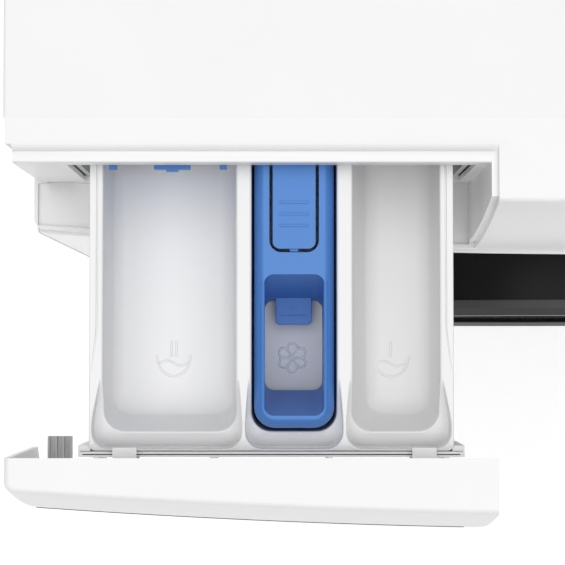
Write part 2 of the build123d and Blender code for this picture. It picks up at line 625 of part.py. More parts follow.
def bellows(x, y, z0, z1, outer, inner, folds):
    """Upright bellows hose with round folds as a turned zigzag."""
    pitch = (z1 - z0) / folds
    points = [(inner, z0)]
    for fold in range(folds):
        base = z0 + fold * pitch
        points += [(inner + 2, base), (outer, base + pitch / 2)]
    points += [(inner + 2, z1), (inner, z1)]
    for fold in reversed(range(folds)):
        base = z0 + fold * pitch
        points += [(outer - 2, base + pitch / 2)]
        if fold:
            points += [(inner, base)]
    outline = make_face(Polyline(*[(r, 0, z) for r, z in points], close=True))
    return Pos(x, y, 0) * revolve(outline, Axis.Z)


def tub_spigot_height():
    """Height of the top of the filling spigot on the tub."""
    return AXIS_HEIGHT + sqrt(TUB_RADIUS**2 - OUTLET_X**2) + 30


def tub_front():
    """Front half of the tub with its mouth and the filling spigot."""
    flange = TUB_RADIUS + TUB_FLANGE
    split = TUB_SPLIT - FIT_GAP
    shell = turned([(TUB_INNER, split), (flange, split), (flange, split - 6), (TUB_RADIUS, split - 6),
                    (TUB_RADIUS, TUB_FRONT), (TUB_MOUTH + TUB_WALL, TUB_FRONT),
                    (TUB_MOUTH + TUB_WALL, TUB_FRONT - 12), (TUB_MOUTH, TUB_FRONT - 12),
                    (TUB_MOUTH, TUB_FRONT + TUB_WALL), (TUB_INNER, TUB_FRONT + TUB_WALL)])
    spigot = rod_z(OUTLET_X, OUTLET_DEPTH, AXIS_HEIGHT, tub_spigot_height(), OUTLET_RADIUS)
    spigot -= rod_y(0, AXIS_HEIGHT, 0, BODY_DEPTH, TUB_RADIUS - 1)
    bore = rod_z(OUTLET_X, OUTLET_DEPTH, AXIS_HEIGHT + 100, HEIGHT, OUTLET_RADIUS - PLASTIC_WALL)
    return shell + spigot - bore


def tub_rear():
    """Rear half of the tub with the bearing hub, spring ears, damper ears and the sump."""
    flange = TUB_RADIUS + TUB_FLANGE
    hub = BEARING_RADIUS + 20
    shell = turned([(TUB_INNER, TUB_SPLIT), (flange, TUB_SPLIT), (flange, TUB_SPLIT + 6),
                    (TUB_RADIUS, TUB_SPLIT + 6), (TUB_RADIUS, TUB_BACK + TUB_WALL), (hub, TUB_BACK + TUB_WALL),
                    (hub, HUB_BACK), (BEARING_RADIUS, HUB_BACK), (BEARING_RADIUS, HUB_FRONT),
                    (hub - 4, HUB_FRONT), (hub - 4, TUB_BACK), (TUB_INNER, TUB_BACK)])
    ears = Part()
    for side in (-1, 1):
        x = side * SPRING_X
        root = side * EAR_ROOT * TUB_RADIUS
        ears += box(min(x, root), max(x, root), SPRING_DEPTH - 10, SPRING_DEPTH + 10, EAR_HEIGHT,
                    EAR_HEIGHT + EAR_THICKNESS)
        ears += rod_z(x, SPRING_DEPTH, EAR_HEIGHT, EAR_HEIGHT + EAR_THICKNESS, 10)
        half = DAMPER_EAR_SIZE / 2
        ears += box(side * DAMPER_X - half, side * DAMPER_X + half, DAMPER_DEPTH - half, DAMPER_DEPTH + half,
                    DAMPER_EAR, DAMPER_EAR + DAMPER_EAR_DROP + DAMPER_EAR_SIZE)
    sump_x, sump_depth = sump_place()
    ears += rod_z(sump_x, sump_depth, sump_top(), AXIS_HEIGHT - 200, OUTLET_RADIUS)
    ears -= rod_y(0, AXIS_HEIGHT, 0, BODY_DEPTH, TUB_RADIUS - 1)
    bore = rod_z(sump_x, sump_depth, sump_top() - 1, AXIS_HEIGHT - 200, OUTLET_RADIUS - PLASTIC_WALL)
    return shell + ears - bore


def sump_place():
    """X and depth of the sump outlet below the tub."""
    return 0, TUB_SPLIT + 40


def sump_top():
    """Height of the lower end of the sump spigot."""
    return AXIS_HEIGHT - TUB_RADIUS - 20


def door_gasket():
    """Rubber bellows between the porthole and the mouth of the tub."""
    rim = PORTHOLE_RADIUS + SHEET + FIT_GAP
    mouth = TUB_MOUTH + TUB_WALL + FIT_GAP
    seal = GLASS_RADIUS - 2.5
    clamp = TUB_FRONT - 8
    return turned([(rim, SHEET + FIT_GAP), (rim + 5, SHEET + FIT_GAP), (rim + 5, 14), (rim + 11, 20), (rim + 11, 34),
                   (rim, 40), (rim, 46), (mouth + 3, clamp - 12), (mouth + 3, clamp), (mouth, clamp),
                   (mouth, clamp - 9), (rim - 3, 49), (rim - 3, 37), (rim + 8, 31.5), (rim + 8, 21.5),
                   (rim + 3, 17), (seal, 17), (seal, 14), (rim, 14)])


def counterweight():
    """Heavy ring on the front wall of the tub."""
    inner = TUB_MOUTH + TUB_WALL + WEIGHT_MOUTH_GAP
    return ring_y(0, AXIS_HEIGHT, TUB_FRONT - WEIGHT_DEPTH, TUB_FRONT, TUB_RADIUS - WEIGHT_MARGIN, inner)


def heater():
    """Heating element: a hairpin of tube under the drum."""
    radius = DRUM_RADIUS + TUB_GAP / 2
    spread = 6
    front = TUB_SPLIT + 20
    tubes = Part()
    for side in (-1, 1):
        angle = radians(-90 + side * spread)
        tubes += rod_y(radius * cos(angle), AXIS_HEIGHT + radius * sin(angle), front, TUB_BACK, TUB_GAP / 3.5)
    section = Pos(0, front, AXIS_HEIGHT) * Rot(0, 90 - spread, 0) * Pos(radius, 0, 0) * Circle(TUB_GAP / 3.5)
    turn = revolve(section, Axis((0, 0, AXIS_HEIGHT), (0, 1, 0)), 2 * spread)
    return tubes + turn


def bearings():
    """Two bearings in the tub's hub."""
    front = ring_y(0, AXIS_HEIGHT, HUB_FRONT + 10, HUB_FRONT + 22, BEARING_RADIUS, SHAFT_RADIUS + RUN_GAP)
    back = ring_y(0, AXIS_HEIGHT, HUB_BACK - 12, HUB_BACK, BEARING_RADIUS, SHAFT_RADIUS + RUN_GAP)
    return front + back


def shaft_seal():
    """Rubber lip seal in front of the bearings."""
    return ring_y(0, AXIS_HEIGHT, HUB_FRONT + 1, HUB_FRONT + 9, BEARING_RADIUS, SHAFT_RADIUS + RUN_GAP)


def suspension_springs():
    """The two springs that the tub hangs on, as sleeves of the coil's size."""
    springs = Part()
    low = EAR_HEIGHT + EAR_THICKNESS
    for side in (-1, 1):
        coil = rod_z(side * SPRING_X, SPRING_DEPTH, low, HANGER_HEIGHT, SPRING_RADIUS)
        coil -= rod_z(side * SPRING_X, SPRING_DEPTH, low - 1, HANGER_HEIGHT + 1, SPRING_RADIUS - SPRING_WIRE)
        springs += coil
    return springs


def damper_tubes():
    """Lower halves of the two dampers, standing on the base."""
    tubes = Part()
    for side in (-1, 1):
        x = side * DAMPER_X
        tube = rod_z(x, DAMPER_DEPTH, BASE_TOP, DAMPER_EAR - 25, DAMPER_RADIUS)
        tube -= rod_z(x, DAMPER_DEPTH, BASE_TOP + 12, DAMPER_EAR, DAMPER_ROD + RUN_GAP)
        tubes += tube
    return tubes


def damper_rods():
    """Upper halves of the two dampers, hung on the tub's ears."""
    rods = Part()
    for side in (-1, 1):
        rods += rod_z(side * DAMPER_X, DAMPER_DEPTH, (BASE_TOP + DAMPER_EAR) / 2, DAMPER_EAR, DAMPER_ROD)
    return rods


def motor():
    """Motor under the tub with its mounting lug."""
    front = HUB_BACK - MOTOR_LENGTH
    body = rod_y(MOTOR_X, MOTOR_HEIGHT, front, HUB_BACK, MOTOR_RADIUS)
    body = fillet(body.edges(), MOTOR_ROUND)
    lug_top = AXIS_HEIGHT - sqrt(TUB_RADIUS**2 - (MOTOR_X - 12)**2) - FIT_GAP
    body += box(MOTOR_X - 12, MOTOR_X + 12, front + 10, TUB_BACK, MOTOR_HEIGHT + MOTOR_RADIUS - 8, lug_top)
    return body - rod_y(MOTOR_X, MOTOR_HEIGHT, HUB_BACK - MOTOR_BORE, HUB_BACK + 1, MOTOR_SHAFT + RUN_GAP)


def motor_pulley():
    """Small pulley on the motor's shaft."""
    shaft = rod_y(MOTOR_X, MOTOR_HEIGHT, HUB_BACK - MOTOR_BORE + 1, PULLEY_BACK, MOTOR_SHAFT)
    return shaft + rod_y(MOTOR_X, MOTOR_HEIGHT, PULLEY_FRONT, PULLEY_BACK, MOTOR_PULLEY_RADIUS)


def drive_belt():
    """Flat belt round both pulleys."""
    def loop(gap):
        big = Pos(0, AXIS_HEIGHT) * Circle(PULLEY_RADIUS + gap)
        small = Pos(MOTOR_X, MOTOR_HEIGHT) * Circle(MOTOR_PULLEY_RADIUS + gap)
        return make_hull(big.edges() + small.edges())
    flat = loop(FIT_GAP + BELT_THICKNESS) - loop(FIT_GAP)
    belt = extrude(flat, amount=PULLEY_WIDTH - 4)
    return Pos(0, PULLEY_BACK - 2, 0) * Rot(90, 0, 0) * belt


def drum_basket():
    """Steel basket with a rolled mouth."""
    inner = DRUM_RADIUS - DRUM_SHEET
    return turned([(DRUM_RADIUS, DRUM_FRONT), (DRUM_RADIUS, DRUM_BACK), (SHAFT_RADIUS + 12, DRUM_BACK),
                   (SHAFT_RADIUS + 12, DRUM_BACK - DRUM_SHEET), (inner, DRUM_BACK - DRUM_SHEET),
                   (inner, DRUM_FRONT + DRUM_SHEET), (DRUM_MOUTH + DRUM_SHEET, DRUM_FRONT + DRUM_SHEET),
                   (DRUM_MOUTH + DRUM_SHEET, DRUM_FRONT + 9), (DRUM_MOUTH, DRUM_FRONT + 9), (DRUM_MOUTH, DRUM_FRONT)])


def drum_lifters():
    """Ribs inside the basket that lift the washing."""
    foot = DRUM_RADIUS - DRUM_SHEET
    front = DRUM_FRONT + 30
    back = DRUM_BACK - 20
    lifters = Part()
    for lifter in range(LIFTER_COUNT):
        outline = make_face(Polyline((-24, foot), (24, foot), (9, foot - LIFTER_HEIGHT), (-9, foot - LIFTER_HEIGHT),
                                     close=True))
        rib = Rot(-90, 0, 0) * extrude(Rot(0, 0, 180) * outline, amount=back - front)
        rib = fillet(rib.edges().filter_by(Axis.Y), 4)
        rib = Pos(0, front, 0) * rib
        rib &= rod_y(0, 0, front - 1, back + 1, foot)
        turn = 360 / LIFTER_COUNT * lifter
        lifters += Pos(0, 0, AXIS_HEIGHT) * Rot(0, turn, 0) * rib
    return lifters


def drum_spider():
    """Three-armed casting that joins the basket to the shaft."""
    spider = ring_y(0, AXIS_HEIGHT, DRUM_BACK, HUB_FRONT - 2, SHAFT_RADIUS + 14, SHAFT_RADIUS)
    for arm in range(LIFTER_COUNT):
        bar = box(-14, 14, DRUM_BACK, DRUM_BACK + 11, SHAFT_RADIUS + 8, DRUM_RADIUS - 4)
        spider += Pos(0, 0, AXIS_HEIGHT) * Rot(0, 360 / LIFTER_COUNT * arm, 0) * bar
    return spider


def drum_shaft():
    """Shaft from the spider through the bearings to the pulley."""
    return rod_y(0, AXIS_HEIGHT, DRUM_BACK, PULLEY_BACK + 4, SHAFT_RADIUS)


def drum_pulley():
    """Large spoked pulley."""
    pulley = ring_y(0, AXIS_HEIGHT, PULLEY_FRONT, PULLEY_BACK, PULLEY_RADIUS, PULLEY_RADIUS - 10)
    pulley += ring_y(0, AXIS_HEIGHT, PULLEY_FRONT, PULLEY_BACK, SHAFT_RADIUS + 12, SHAFT_RADIUS)
    spokes = 6
    for spoke in range(spokes):
        bar = box(-7, 7, PULLEY_FRONT + 4, PULLEY_BACK - 4, SHAFT_RADIUS + 8, PULLEY_RADIUS - 5)
        pulley += Pos(0, 0, AXIS_HEIGHT) * Rot(0, 360 / spokes * spoke, 0) * bar
    return pulley


def handle_space():
    """Finger space cut into the right side of the door."""
    half = HANDLE_HEIGHT / 2
    return box(DOOR_RADIUS - 34, DOOR_RADIUS + 10, DOOR_FRONT - 1, GLASS_SEAT, AXIS_HEIGHT - half, AXIS_HEIGHT + half)


def door_ring():
    """Black outer ring of the door."""
    wall = DOOR_WALL
    ring = turned([(DOOR_RADIUS, DOOR_BACK), (DOOR_RADIUS, DOOR_MIDDLE), (COVER_RADIUS, DOOR_MIDDLE),
                   (COVER_RADIUS, DOOR_MIDDLE + wall), (DOOR_RADIUS - wall, DOOR_MIDDLE + wall),
                   (DOOR_RADIUS - wall, DOOR_BACK)])
    return ring - handle_space() - hinge_arm_bar(FIT_GAP)


def door_bezel():
    """Dark rim on the front of the door."""
    edge = DOOR_RADIUS - 0.5
    seat = DOOR_FRONT + 6.5
    rim = turned([(edge, DOOR_MIDDLE), (edge, DOOR_FRONT + 4), (edge - 4, DOOR_FRONT), (COVER_RADIUS + 6, DOOR_FRONT),
                  (COVER_RADIUS, DOOR_FRONT + 2.5), (COVER_RADIUS, seat), (COVER_RADIUS - 8, seat),
                  (COVER_RADIUS - 8, DOOR_MIDDLE)])
    return rim - handle_space()


def door_cover():
    """Smoked cover in front of the glass."""
    radius = COVER_RADIUS - FIT_GAP
    back = DOOR_FRONT + 6.5
    disc = rod_y(0, AXIS_HEIGHT, back - COVER_THICKNESS, back, radius)
    return disc - handle_space()


def door_glass():
    """Glass bowl that reaches through the porthole."""
    wall = GLASS_THICKNESS
    flange = GLASS_RADIUS + 24
    seat = GLASS_SEAT
    r = GLASS_RADIUS
    tip = GLASS_REACH
    return turned([(flange, seat - wall), (flange, seat), (r, seat), (r - 5, 12), (r - 28, tip - 14),
                   (r - 42, tip - 3), (0, tip), (0, tip - wall), (r - 45, tip - wall - 3),
                   (r - 33, tip - wall - 13), (r - 10, 10), (r - 6, seat - wall)])


def door_inner_ring():
    """Back frame of the door that holds the glass."""
    outer = DOOR_RADIUS - DOOR_WALL - FIT_GAP
    front = GLASS_SEAT + 0.1
    back = DOOR_BACK - 2
    return turned([(GLASS_RADIUS + 3, front), (outer, front), (outer, back), (HOOK_X - 6, back),
                   (HOOK_X - 20, back - 5), (GLASS_RADIUS + 3, back - 5)])


def door_handle():
    """Grip that bridges the finger space."""
    half = HANDLE_HEIGHT / 2 - FIT_GAP
    grip = turned([(DOOR_RADIUS - 0.5, DOOR_FRONT + 4), (DOOR_RADIUS - 4.5, DOOR_FRONT),
                   (DOOR_RADIUS - HANDLE_GRIP, DOOR_FRONT), (DOOR_RADIUS - HANDLE_GRIP - 3, DOOR_FRONT + 3),
                   (DOOR_RADIUS - HANDLE_GRIP - 3, DOOR_FRONT + 7), (DOOR_RADIUS - 0.5, DOOR_FRONT + 7)])
    return grip & box(0, DOOR_RADIUS + 10, DOOR_FRONT - 1, 0, AXIS_HEIGHT - half, AXIS_HEIGHT + half)


def door_hook():
    """Latch hook on the back of the door."""
    back = DOOR_BACK - 2 + 2 * FIT_GAP
    half = HOOK_WIDTH / 2
    low = AXIS_HEIGHT - HOOK_HEIGHT / 2
    stem = box(HOOK_X - half, HOOK_X + half, back, 16, low, low + HOOK_HEIGHT)
    notch = box(HOOK_X, HOOK_X + half + 1, 6, 11, low - 1, low + HOOK_HEIGHT + 1)
    return fillet((stem - notch).edges().filter_by(Axis.Z).group_by(Axis.Y)[-1], 2)


def hinge_arm_bar(gap):
    """Flat bar of the hinge arm, with a gap round it."""
    half = KNUCKLE_HEIGHT / 2 + gap
    return box(HINGE_X, -DOOR_RADIUS + 16 + gap, -HINGE_DEPTH + 1 - gap, -HINGE_DEPTH + 10 + gap,
               AXIS_HEIGHT - half, AXIS_HEIGHT + half)


def hinge_arm():
    """Arm on the door that turns on the hinge pin."""
    half = KNUCKLE_HEIGHT / 2
    knuckle = rod_z(HINGE_X, -HINGE_DEPTH, AXIS_HEIGHT - half, AXIS_HEIGHT + half, KNUCKLE_RADIUS)
    bore = rod_z(HINGE_X, -HINGE_DEPTH, AXIS_HEIGHT - half - 1, AXIS_HEIGHT + half + 1, HINGE_PIN_RADIUS + RUN_GAP)
    return knuckle + hinge_arm_bar(0) - bore


def hinge_bracket():
    """Bracket on the front panel with two knuckles."""
    half = KNUCKLE_HEIGHT / 2 + FIT_GAP
    reach = half + LEAF_ENDS
    bracket = box(HINGE_X - LEAF_OUTER, HINGE_X + LEAF_INNER, -2, 0, AXIS_HEIGHT - reach, AXIS_HEIGHT + reach)
    for low in (AXIS_HEIGHT - half - FIXED_KNUCKLE, AXIS_HEIGHT + half):
        high = low + FIXED_KNUCKLE
        bracket += rod_z(HINGE_X, -HINGE_DEPTH, low, high, KNUCKLE_RADIUS)
        bracket += box(HINGE_X - KNUCKLE_RADIUS, HINGE_X + 2, -HINGE_DEPTH, -1, low, high)
    return bracket - rod_z(HINGE_X, -HINGE_DEPTH, 0, HEIGHT, HINGE_PIN_RADIUS + RUN_GAP)


def hinge_pin():
    """Pin of the door hinge."""
    half = KNUCKLE_HEIGHT / 2 + FIT_GAP + FIXED_KNUCKLE
    return rod_z(HINGE_X, -HINGE_DEPTH, AXIS_HEIGHT - half, AXIS_HEIGHT + half, HINGE_PIN_RADIUS)


def lock_slot(margin):
    """Space of the hook's slot."""
    return box(HOOK_X - HOOK_WIDTH / 2 - 5, HOOK_X + HOOK_WIDTH / 2 + 5, -1, 20,
               AXIS_HEIGHT - HOOK_HEIGHT / 2 - margin, AXIS_HEIGHT + HOOK_HEIGHT / 2 + margin)


def door_lock():
    """Lock behind the front panel."""
    body = box(HOOK_X - 13, HOOK_X + 16, SHEET, 32, AXIS_HEIGHT - 40, AXIS_HEIGHT + 40)
    return fillet(body.edges().filter_by(Axis.Y), 3) - lock_slot(4)


def front_panel():
    """Front sheet with the porthole, the lock slot and the service opening."""
    high = FASCIA_BOTTOM - FIT_GAP
    low = BASE_HEIGHT + 2
    edge = SIDE_INNER - FIT_GAP
    sheet = box(-edge, edge, 0, SHEET, low, high)
    sheet += box(-edge, -edge + SHEET, 0, 14, low, high) + box(edge - SHEET, edge, 0, 14, low, high)
    sheet = fillet(sheet.edges().filter_by(Axis.Z).group_by(Axis.Y)[0], 1)
    collar = ring_y(0, AXIS_HEIGHT, 0.5, 13.5, PORTHOLE_RADIUS + SHEET, PORTHOLE_RADIUS)
    sheet = sheet + collar - rod_y(0, AXIS_HEIGHT, -1, 20, PORTHOLE_RADIUS)
    sheet -= lock_slot(4)
    return sheet - service_space(FIT_GAP)


def service_space(gap):
    """Opening for the service flap."""
    half = SERVICE_WIDTH / 2 + gap
    return box(SERVICE_X - half, SERVICE_X + half, -2, 3, SERVICE_BOTTOM - gap, SERVICE_BOTTOM + SERVICE_HEIGHT + gap)


def service_flap():
    """Flap in front of the drain filter, hinged at its lower edge."""
    half = SERVICE_WIDTH / 2
    flap = box(SERVICE_X - half, SERVICE_X + half, -1.3, SHEET, SERVICE_BOTTOM, SERVICE_BOTTOM + SERVICE_HEIGHT)
    flap = fillet(flap.faces().sort_by(Axis.Y)[0].edges(), 1)
    return flap - box(SERVICE_X - 12, SERVICE_X + 12, -2, 0.2, SERVICE_BOTTOM + SERVICE_HEIGHT - 8, HEIGHT)


def filter_height():
    """Height of the drain filter's axis."""
    return SERVICE_BOTTOM + SERVICE_HEIGHT / 2


def filter_cap():
    """Screw cap of the drain filter with a grip bar."""
    z = filter_height()
    cap = rod_y(SERVICE_X, z, 10, 24, FILTER_RADIUS)
    cap += box(SERVICE_X - FILTER_RADIUS + 3, SERVICE_X + FILTER_RADIUS - 3, 4, 11, z - 4, z + 4)
    return cap


def drain_pump():
    """Pump and filter housing on the base, behind the service flap."""
    z = filter_height()
    outer = FILTER_RADIUS + 4
    body = rod_y(SERVICE_X, z, 14, 110, outer) - rod_y(SERVICE_X, z, 13, 90, FILTER_RADIUS + FIT_GAP)
    body += rod_y(SERVICE_X, z, 109, 160, outer - 8)
    body += box(SERVICE_X - outer, SERVICE_X + outer, 40, 100, BASE_TOP, z - FILTER_RADIUS - 1)
    return body - rod_y(SERVICE_X, z, 13, 90, FILTER_RADIUS + FIT_GAP)


def side_panel(side):
    """Side sheet with folded edges and the spring hanger."""
    top = HEIGHT - WORKTOP_SKIRT
    sheet = along_x([(0, BASE_HEIGHT), (BODY_DEPTH - SHEET, BASE_HEIGHT), (BODY_DEPTH - SHEET, top),
                     (FASCIA_BACK + FIT_GAP, top), (FASCIA_BACK + FIT_GAP, FASCIA_BOTTOM - FIT_GAP),
                     (0, FASCIA_BOTTOM - FIT_GAP)], SIDE_INNER, SIDE)
    sheet = fillet(sheet.edges().filter_by(Axis.Z).group_by(Axis.Y)[0].sort_by(Axis.X)[-1:], SHEET * 0.8)
    fold = SIDE_INNER - 14
    sheet += box(fold, SIDE_INNER, BODY_DEPTH - 2 * SHEET, BODY_DEPTH - SHEET, BASE_HEIGHT, top)
    sheet += box(fold, SIDE_INNER, RECESS_BACK + 40, BODY_DEPTH - SHEET, top - SHEET, top)
    sheet += box(SPRING_X - 12, SIDE_INNER, SPRING_DEPTH - 12, SPRING_DEPTH + 12, HANGER_HEIGHT, HANGER_HEIGHT + 4)
    return sheet if side > 0 else mirror(sheet, Plane.YZ)


def rear_panel():
    """Rear sheet with holes for the water inlet and the mains gland."""
    top = HEIGHT - WORKTOP_SKIRT
    sheet = box(-SIDE, SIDE, BODY_DEPTH - SHEET, BODY_DEPTH, BASE_HEIGHT, top)
    for x in (-1, 1):
        sheet -= box(x * 150 - 60, x * 150 + 60, BODY_DEPTH - 3, BODY_DEPTH - SHEET / 2, 240, 560)
    collar = INLET_RADIUS + INLET_COLLAR + FIT_GAP
    sheet -= rod_y(INLET_X, INLET_HEIGHT, BODY_DEPTH - 5, BODY_DEPTH + 5, collar)
    return sheet - rod_y(GLAND_X, GLAND_HEIGHT, BODY_DEPTH - 5, BODY_DEPTH + 5, GLAND_RADIUS + FIT_GAP)


def inlet_valve():
    """Water inlet valve with its threaded nozzle through the rear panel."""
    z = INLET_HEIGHT
    back = BODY_DEPTH - SHEET
    body = box(INLET_X - 22, INLET_X + 22, back - 40, back, z - 18, z + 18)
    body = fillet(body.edges().filter_by(Axis.Y), 4)
    body += rod_y(INLET_X, z, back - 1, BODY_DEPTH + INLET_COLLAR_STAND, INLET_RADIUS + INLET_COLLAR)
    body += rod_y(INLET_X, z, BODY_DEPTH, BODY_DEPTH + REAR_FITTING, INLET_RADIUS)
    return body - rod_y(INLET_X, z, BODY_DEPTH, BODY_DEPTH + REAR_FITTING + 1, INLET_RADIUS - 3)


def mains_gland():
    """Gland where the mains lead leaves the rear panel."""
    back = BODY_DEPTH
    gland = rod_y(GLAND_X, GLAND_HEIGHT, back - 12, back + 10, GLAND_RADIUS)
    gland += rod_y(GLAND_X, GLAND_HEIGHT, back, back + 4, GLAND_RADIUS + 4)
    gland += rod_y(GLAND_X, GLAND_HEIGHT, back - 12, back - SHEET, GLAND_RADIUS + 4)
    return gland - rod_y(GLAND_X, GLAND_HEIGHT, back - 13, back + 11, 4)


def cross_rails():
    """Rails that tie the side panels together under the worktop."""
    top = HEIGHT - WORKTOP_SKIRT - SHEET
    reach = SIDE_INNER
    back = box(-reach, reach, BODY_DEPTH - 40, BODY_DEPTH - 2 * SHEET, top - 10, top)
    front = box(HOUSING_RIGHT + 4, reach, FASCIA_BACK + 4, FASCIA_BACK + 20, top - 10, top)
    return back + front


def foot_places():
    """X and depth of the four feet."""
    x = SIDE - FOOT_INSET
    return [(side * x, depth) for side in (-1, 1) for depth in (FOOT_INSET, BODY_DEPTH - FOOT_INSET)]


def base_pan():
    """Base sheet with a flange all round and holes for the feet."""
    edge = SIDE_INNER
    back = BODY_DEPTH - 2 * SHEET
    pan = box(-edge, edge, 14 + SHEET, back, BASE_HEIGHT, BASE_HEIGHT + BASE_FLANGE)
    pan -= box(-edge + SHEET, edge - SHEET, 14 + 2 * SHEET, back - SHEET, BASE_TOP, HEIGHT)
    for x, y in foot_places():
        pan -= rod_z(x, y, 0, HEIGHT, FOOT_STUD + FIT_GAP)
    return pan - box(SERVICE_X - 31, SERVICE_X + 31, 10, 60, BASE_TOP, HEIGHT)


def levelling_feet():
    """Four feet with their studs through the base."""
    feet = Part()
    for x, y in foot_places():
        pad = fillet(rod_z(x, y, 0, FOOT_PAD, FOOT_RADIUS).edges().sort_by(Axis.Z)[-1:], 3)
        feet += pad + rod_z(x, y, FOOT_PAD - 1, BASE_TOP + 16, FOOT_STUD)
    return feet


def foot_lock_nuts():
    """Lock nuts on the feet's studs, under the base."""
    nuts = Part()
    for x, y in foot_places():
        nut = extrude(Pos(x, y, FOOT_PAD) * RegularPolygon(9.5, 6), amount=BASE_HEIGHT - FOOT_PAD)
        nuts += nut - rod_z(x, y, 0, BASE_HEIGHT + 1, FOOT_STUD)
    return nuts


def display_space(gap):
    """Space of the display window in the fascia."""
    low = HEIGHT - CONTROL_DROP - DISPLAY_HEIGHT / 2 - gap
    return face_skin(DISPLAY_LEFT - gap, DISPLAY_LEFT + DISPLAY_WIDTH + gap, low, low + DISPLAY_HEIGHT + 2 * gap,
                     -1, PLASTIC_WALL + 1)


def display_window():
    """Dark window over the display, flush with the fascia."""
    low = HEIGHT - CONTROL_DROP - DISPLAY_HEIGHT / 2
    return face_skin(DISPLAY_LEFT, DISPLAY_LEFT + DISPLAY_WIDTH, low, low + DISPLAY_HEIGHT, 0, PLASTIC_WALL)


def control_board():
    """Board behind the display, with the stand-offs that carry the window."""
    left = DISPLAY_LEFT - 20
    right = DISPLAY_LEFT + DISPLAY_WIDTH + 20
    z = HEIGHT - CONTROL_DROP
    front = FASCIA_BACK - 16
    board = box(left, right, front, front + 4, z - 40, z + 36)
    frame = face_block(DISPLAY_LEFT + 2, DISPLAY_LEFT + DISPLAY_WIDTH - 2, z - 18, z + 18, PLASTIC_WALL + 0.1, front)
    inner = face_block(DISPLAY_LEFT + 5, DISPLAY_LEFT + DISPLAY_WIDTH - 5, z - 15, z + 15, PLASTIC_WALL - 1,
                       front + 1)
    legs = box(left, right, front + 3, FASCIA_BACK, z + 30, z + 36)
    return board + (frame - inner) + legs


def program_knob():
    """Round program selector with a pointer ridge."""
    plane = face_plane(KNOB_X, CONTROL_DROP)
    knob = Pos(0, 0, 0.5) * Cylinder(KNOB_RADIUS, KNOB_HEIGHT, align=BOTTOM)
    knob = fillet(knob.edges().sort_by(Axis.Z)[-1:], 2.5)
    knob -= Pos(0, KNOB_RADIUS - 6, KNOB_HEIGHT + 0.5) * Box(2, 9, 1.6)
    spindle = Pos(0, 0, -14) * Cylinder(6 - RUN_GAP, 16, align=BOTTOM)
    return plane * (knob + spindle)


def start_button():
    """Round start button."""
    plane = face_plane(BUTTON_X, CONTROL_DROP)
    button = Pos(0, 0, BUTTON_STAND - BUTTON_LENGTH) * Cylinder(BUTTON_RADIUS, BUTTON_LENGTH, align=BOTTOM)
    return plane * fillet(button.edges().sort_by(Axis.Z)[-1:], 1)


def fill_bellows():
    """Bellows from the dispenser to the tub."""
    low = tub_spigot_height()
    return bellows(OUTLET_X, OUTLET_DEPTH, low, OUTLET_BOTTOM, OUTLET_RADIUS + 4, OUTLET_RADIUS - 2, 7)


def sump_bellows():
    """Bellows from the sump down to the base, where the pump draws from it."""
    x, y = sump_place()
    return bellows(x, y, BASE_TOP + 10, sump_top(), OUTLET_RADIUS + 4, OUTLET_RADIUS - 2, 10)


def frame_shift():
    """Y of the front panel's face, with the origin amid the box round the open machine."""
    open_front = face_depth(DRAWER_RIGHT, DRAWER_BOTTOM) - FASCIA_LIP / 3 - DRAWER_TRAVEL
    return -(open_front + BODY_DEPTH + REAR_FITTING) / 2


def write(name, part, pulled_out=False):
    """Write one piece, moved to the frame and, on the drawer, pulled out."""
    shift = frame_shift() - (DRAWER_TRAVEL if pulled_out else 0)
    solids = (Pos(0, shift, 0) * part).solids()
    shape = solids[0] if len(solids) == 1 else Compound(children=list(solids))
    export_step(shape, f"parts/{name}.step")
    print(name, len(solids), round(sum(s.volume for s in solids) / 1000, 1), "cm3")


CABINET = [worktop, control_fascia, front_panel, rear_panel, cross_rails, base_pan, levelling_feet, foot_lock_nuts,
           mains_gland, inlet_valve, dispenser_housing, dispenser_lid, control_board, display_window, door_lock,
           hinge_bracket, hinge_pin, damper_tubes, drain_pump]
DRAWER = [drawer_front, drawer_tray, siphon_insert, front_clips, guide_tongue, release_tongue, liquid_flap]
TUB = [tub_front, tub_rear, counterweight, door_gasket, heater, bearings, shaft_seal, suspension_springs, damper_rods,
       motor, drive_belt, fill_bellows, sump_bellows]
DRUM = [drum_basket, drum_lifters, drum_spider, drum_shaft, drum_pulley, motor_pulley]
DOOR = [door_ring, door_bezel, door_cover, door_glass, door_inner_ring, door_handle, door_hook, hinge_arm]
CONTROLS = [program_knob, start_button, service_flap, filter_cap]

os.makedirs("parts", exist_ok=True)
write("side_panel_left", side_panel(-1))
write("side_panel_right", side_panel(1))
for piece in CABINET + TUB + DRUM + DOOR + CONTROLS:
    write(piece.__name__, piece())
for piece in DRAWER:
    write(piece.__name__, piece(), pulled_out=True)
print("frame shift", round(frame_shift(), 3))
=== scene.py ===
# %% [markdown]
# A front loading washing machine, seen from above with its detergent drawer pulled out. The solids come
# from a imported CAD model, which is loaded as a fixed frame. This lesson gives them their finishes, and
# models the pieces that need softer or finer shapes than the solids have. Where a solid gives a place or a
# size, it is read from the frame, so the pieces of this lesson and the solids share one place and one scale.

# %% Load the frame
import json
from itertools import product
from math import asin, cos, degrees, pi, radians, sin, sqrt

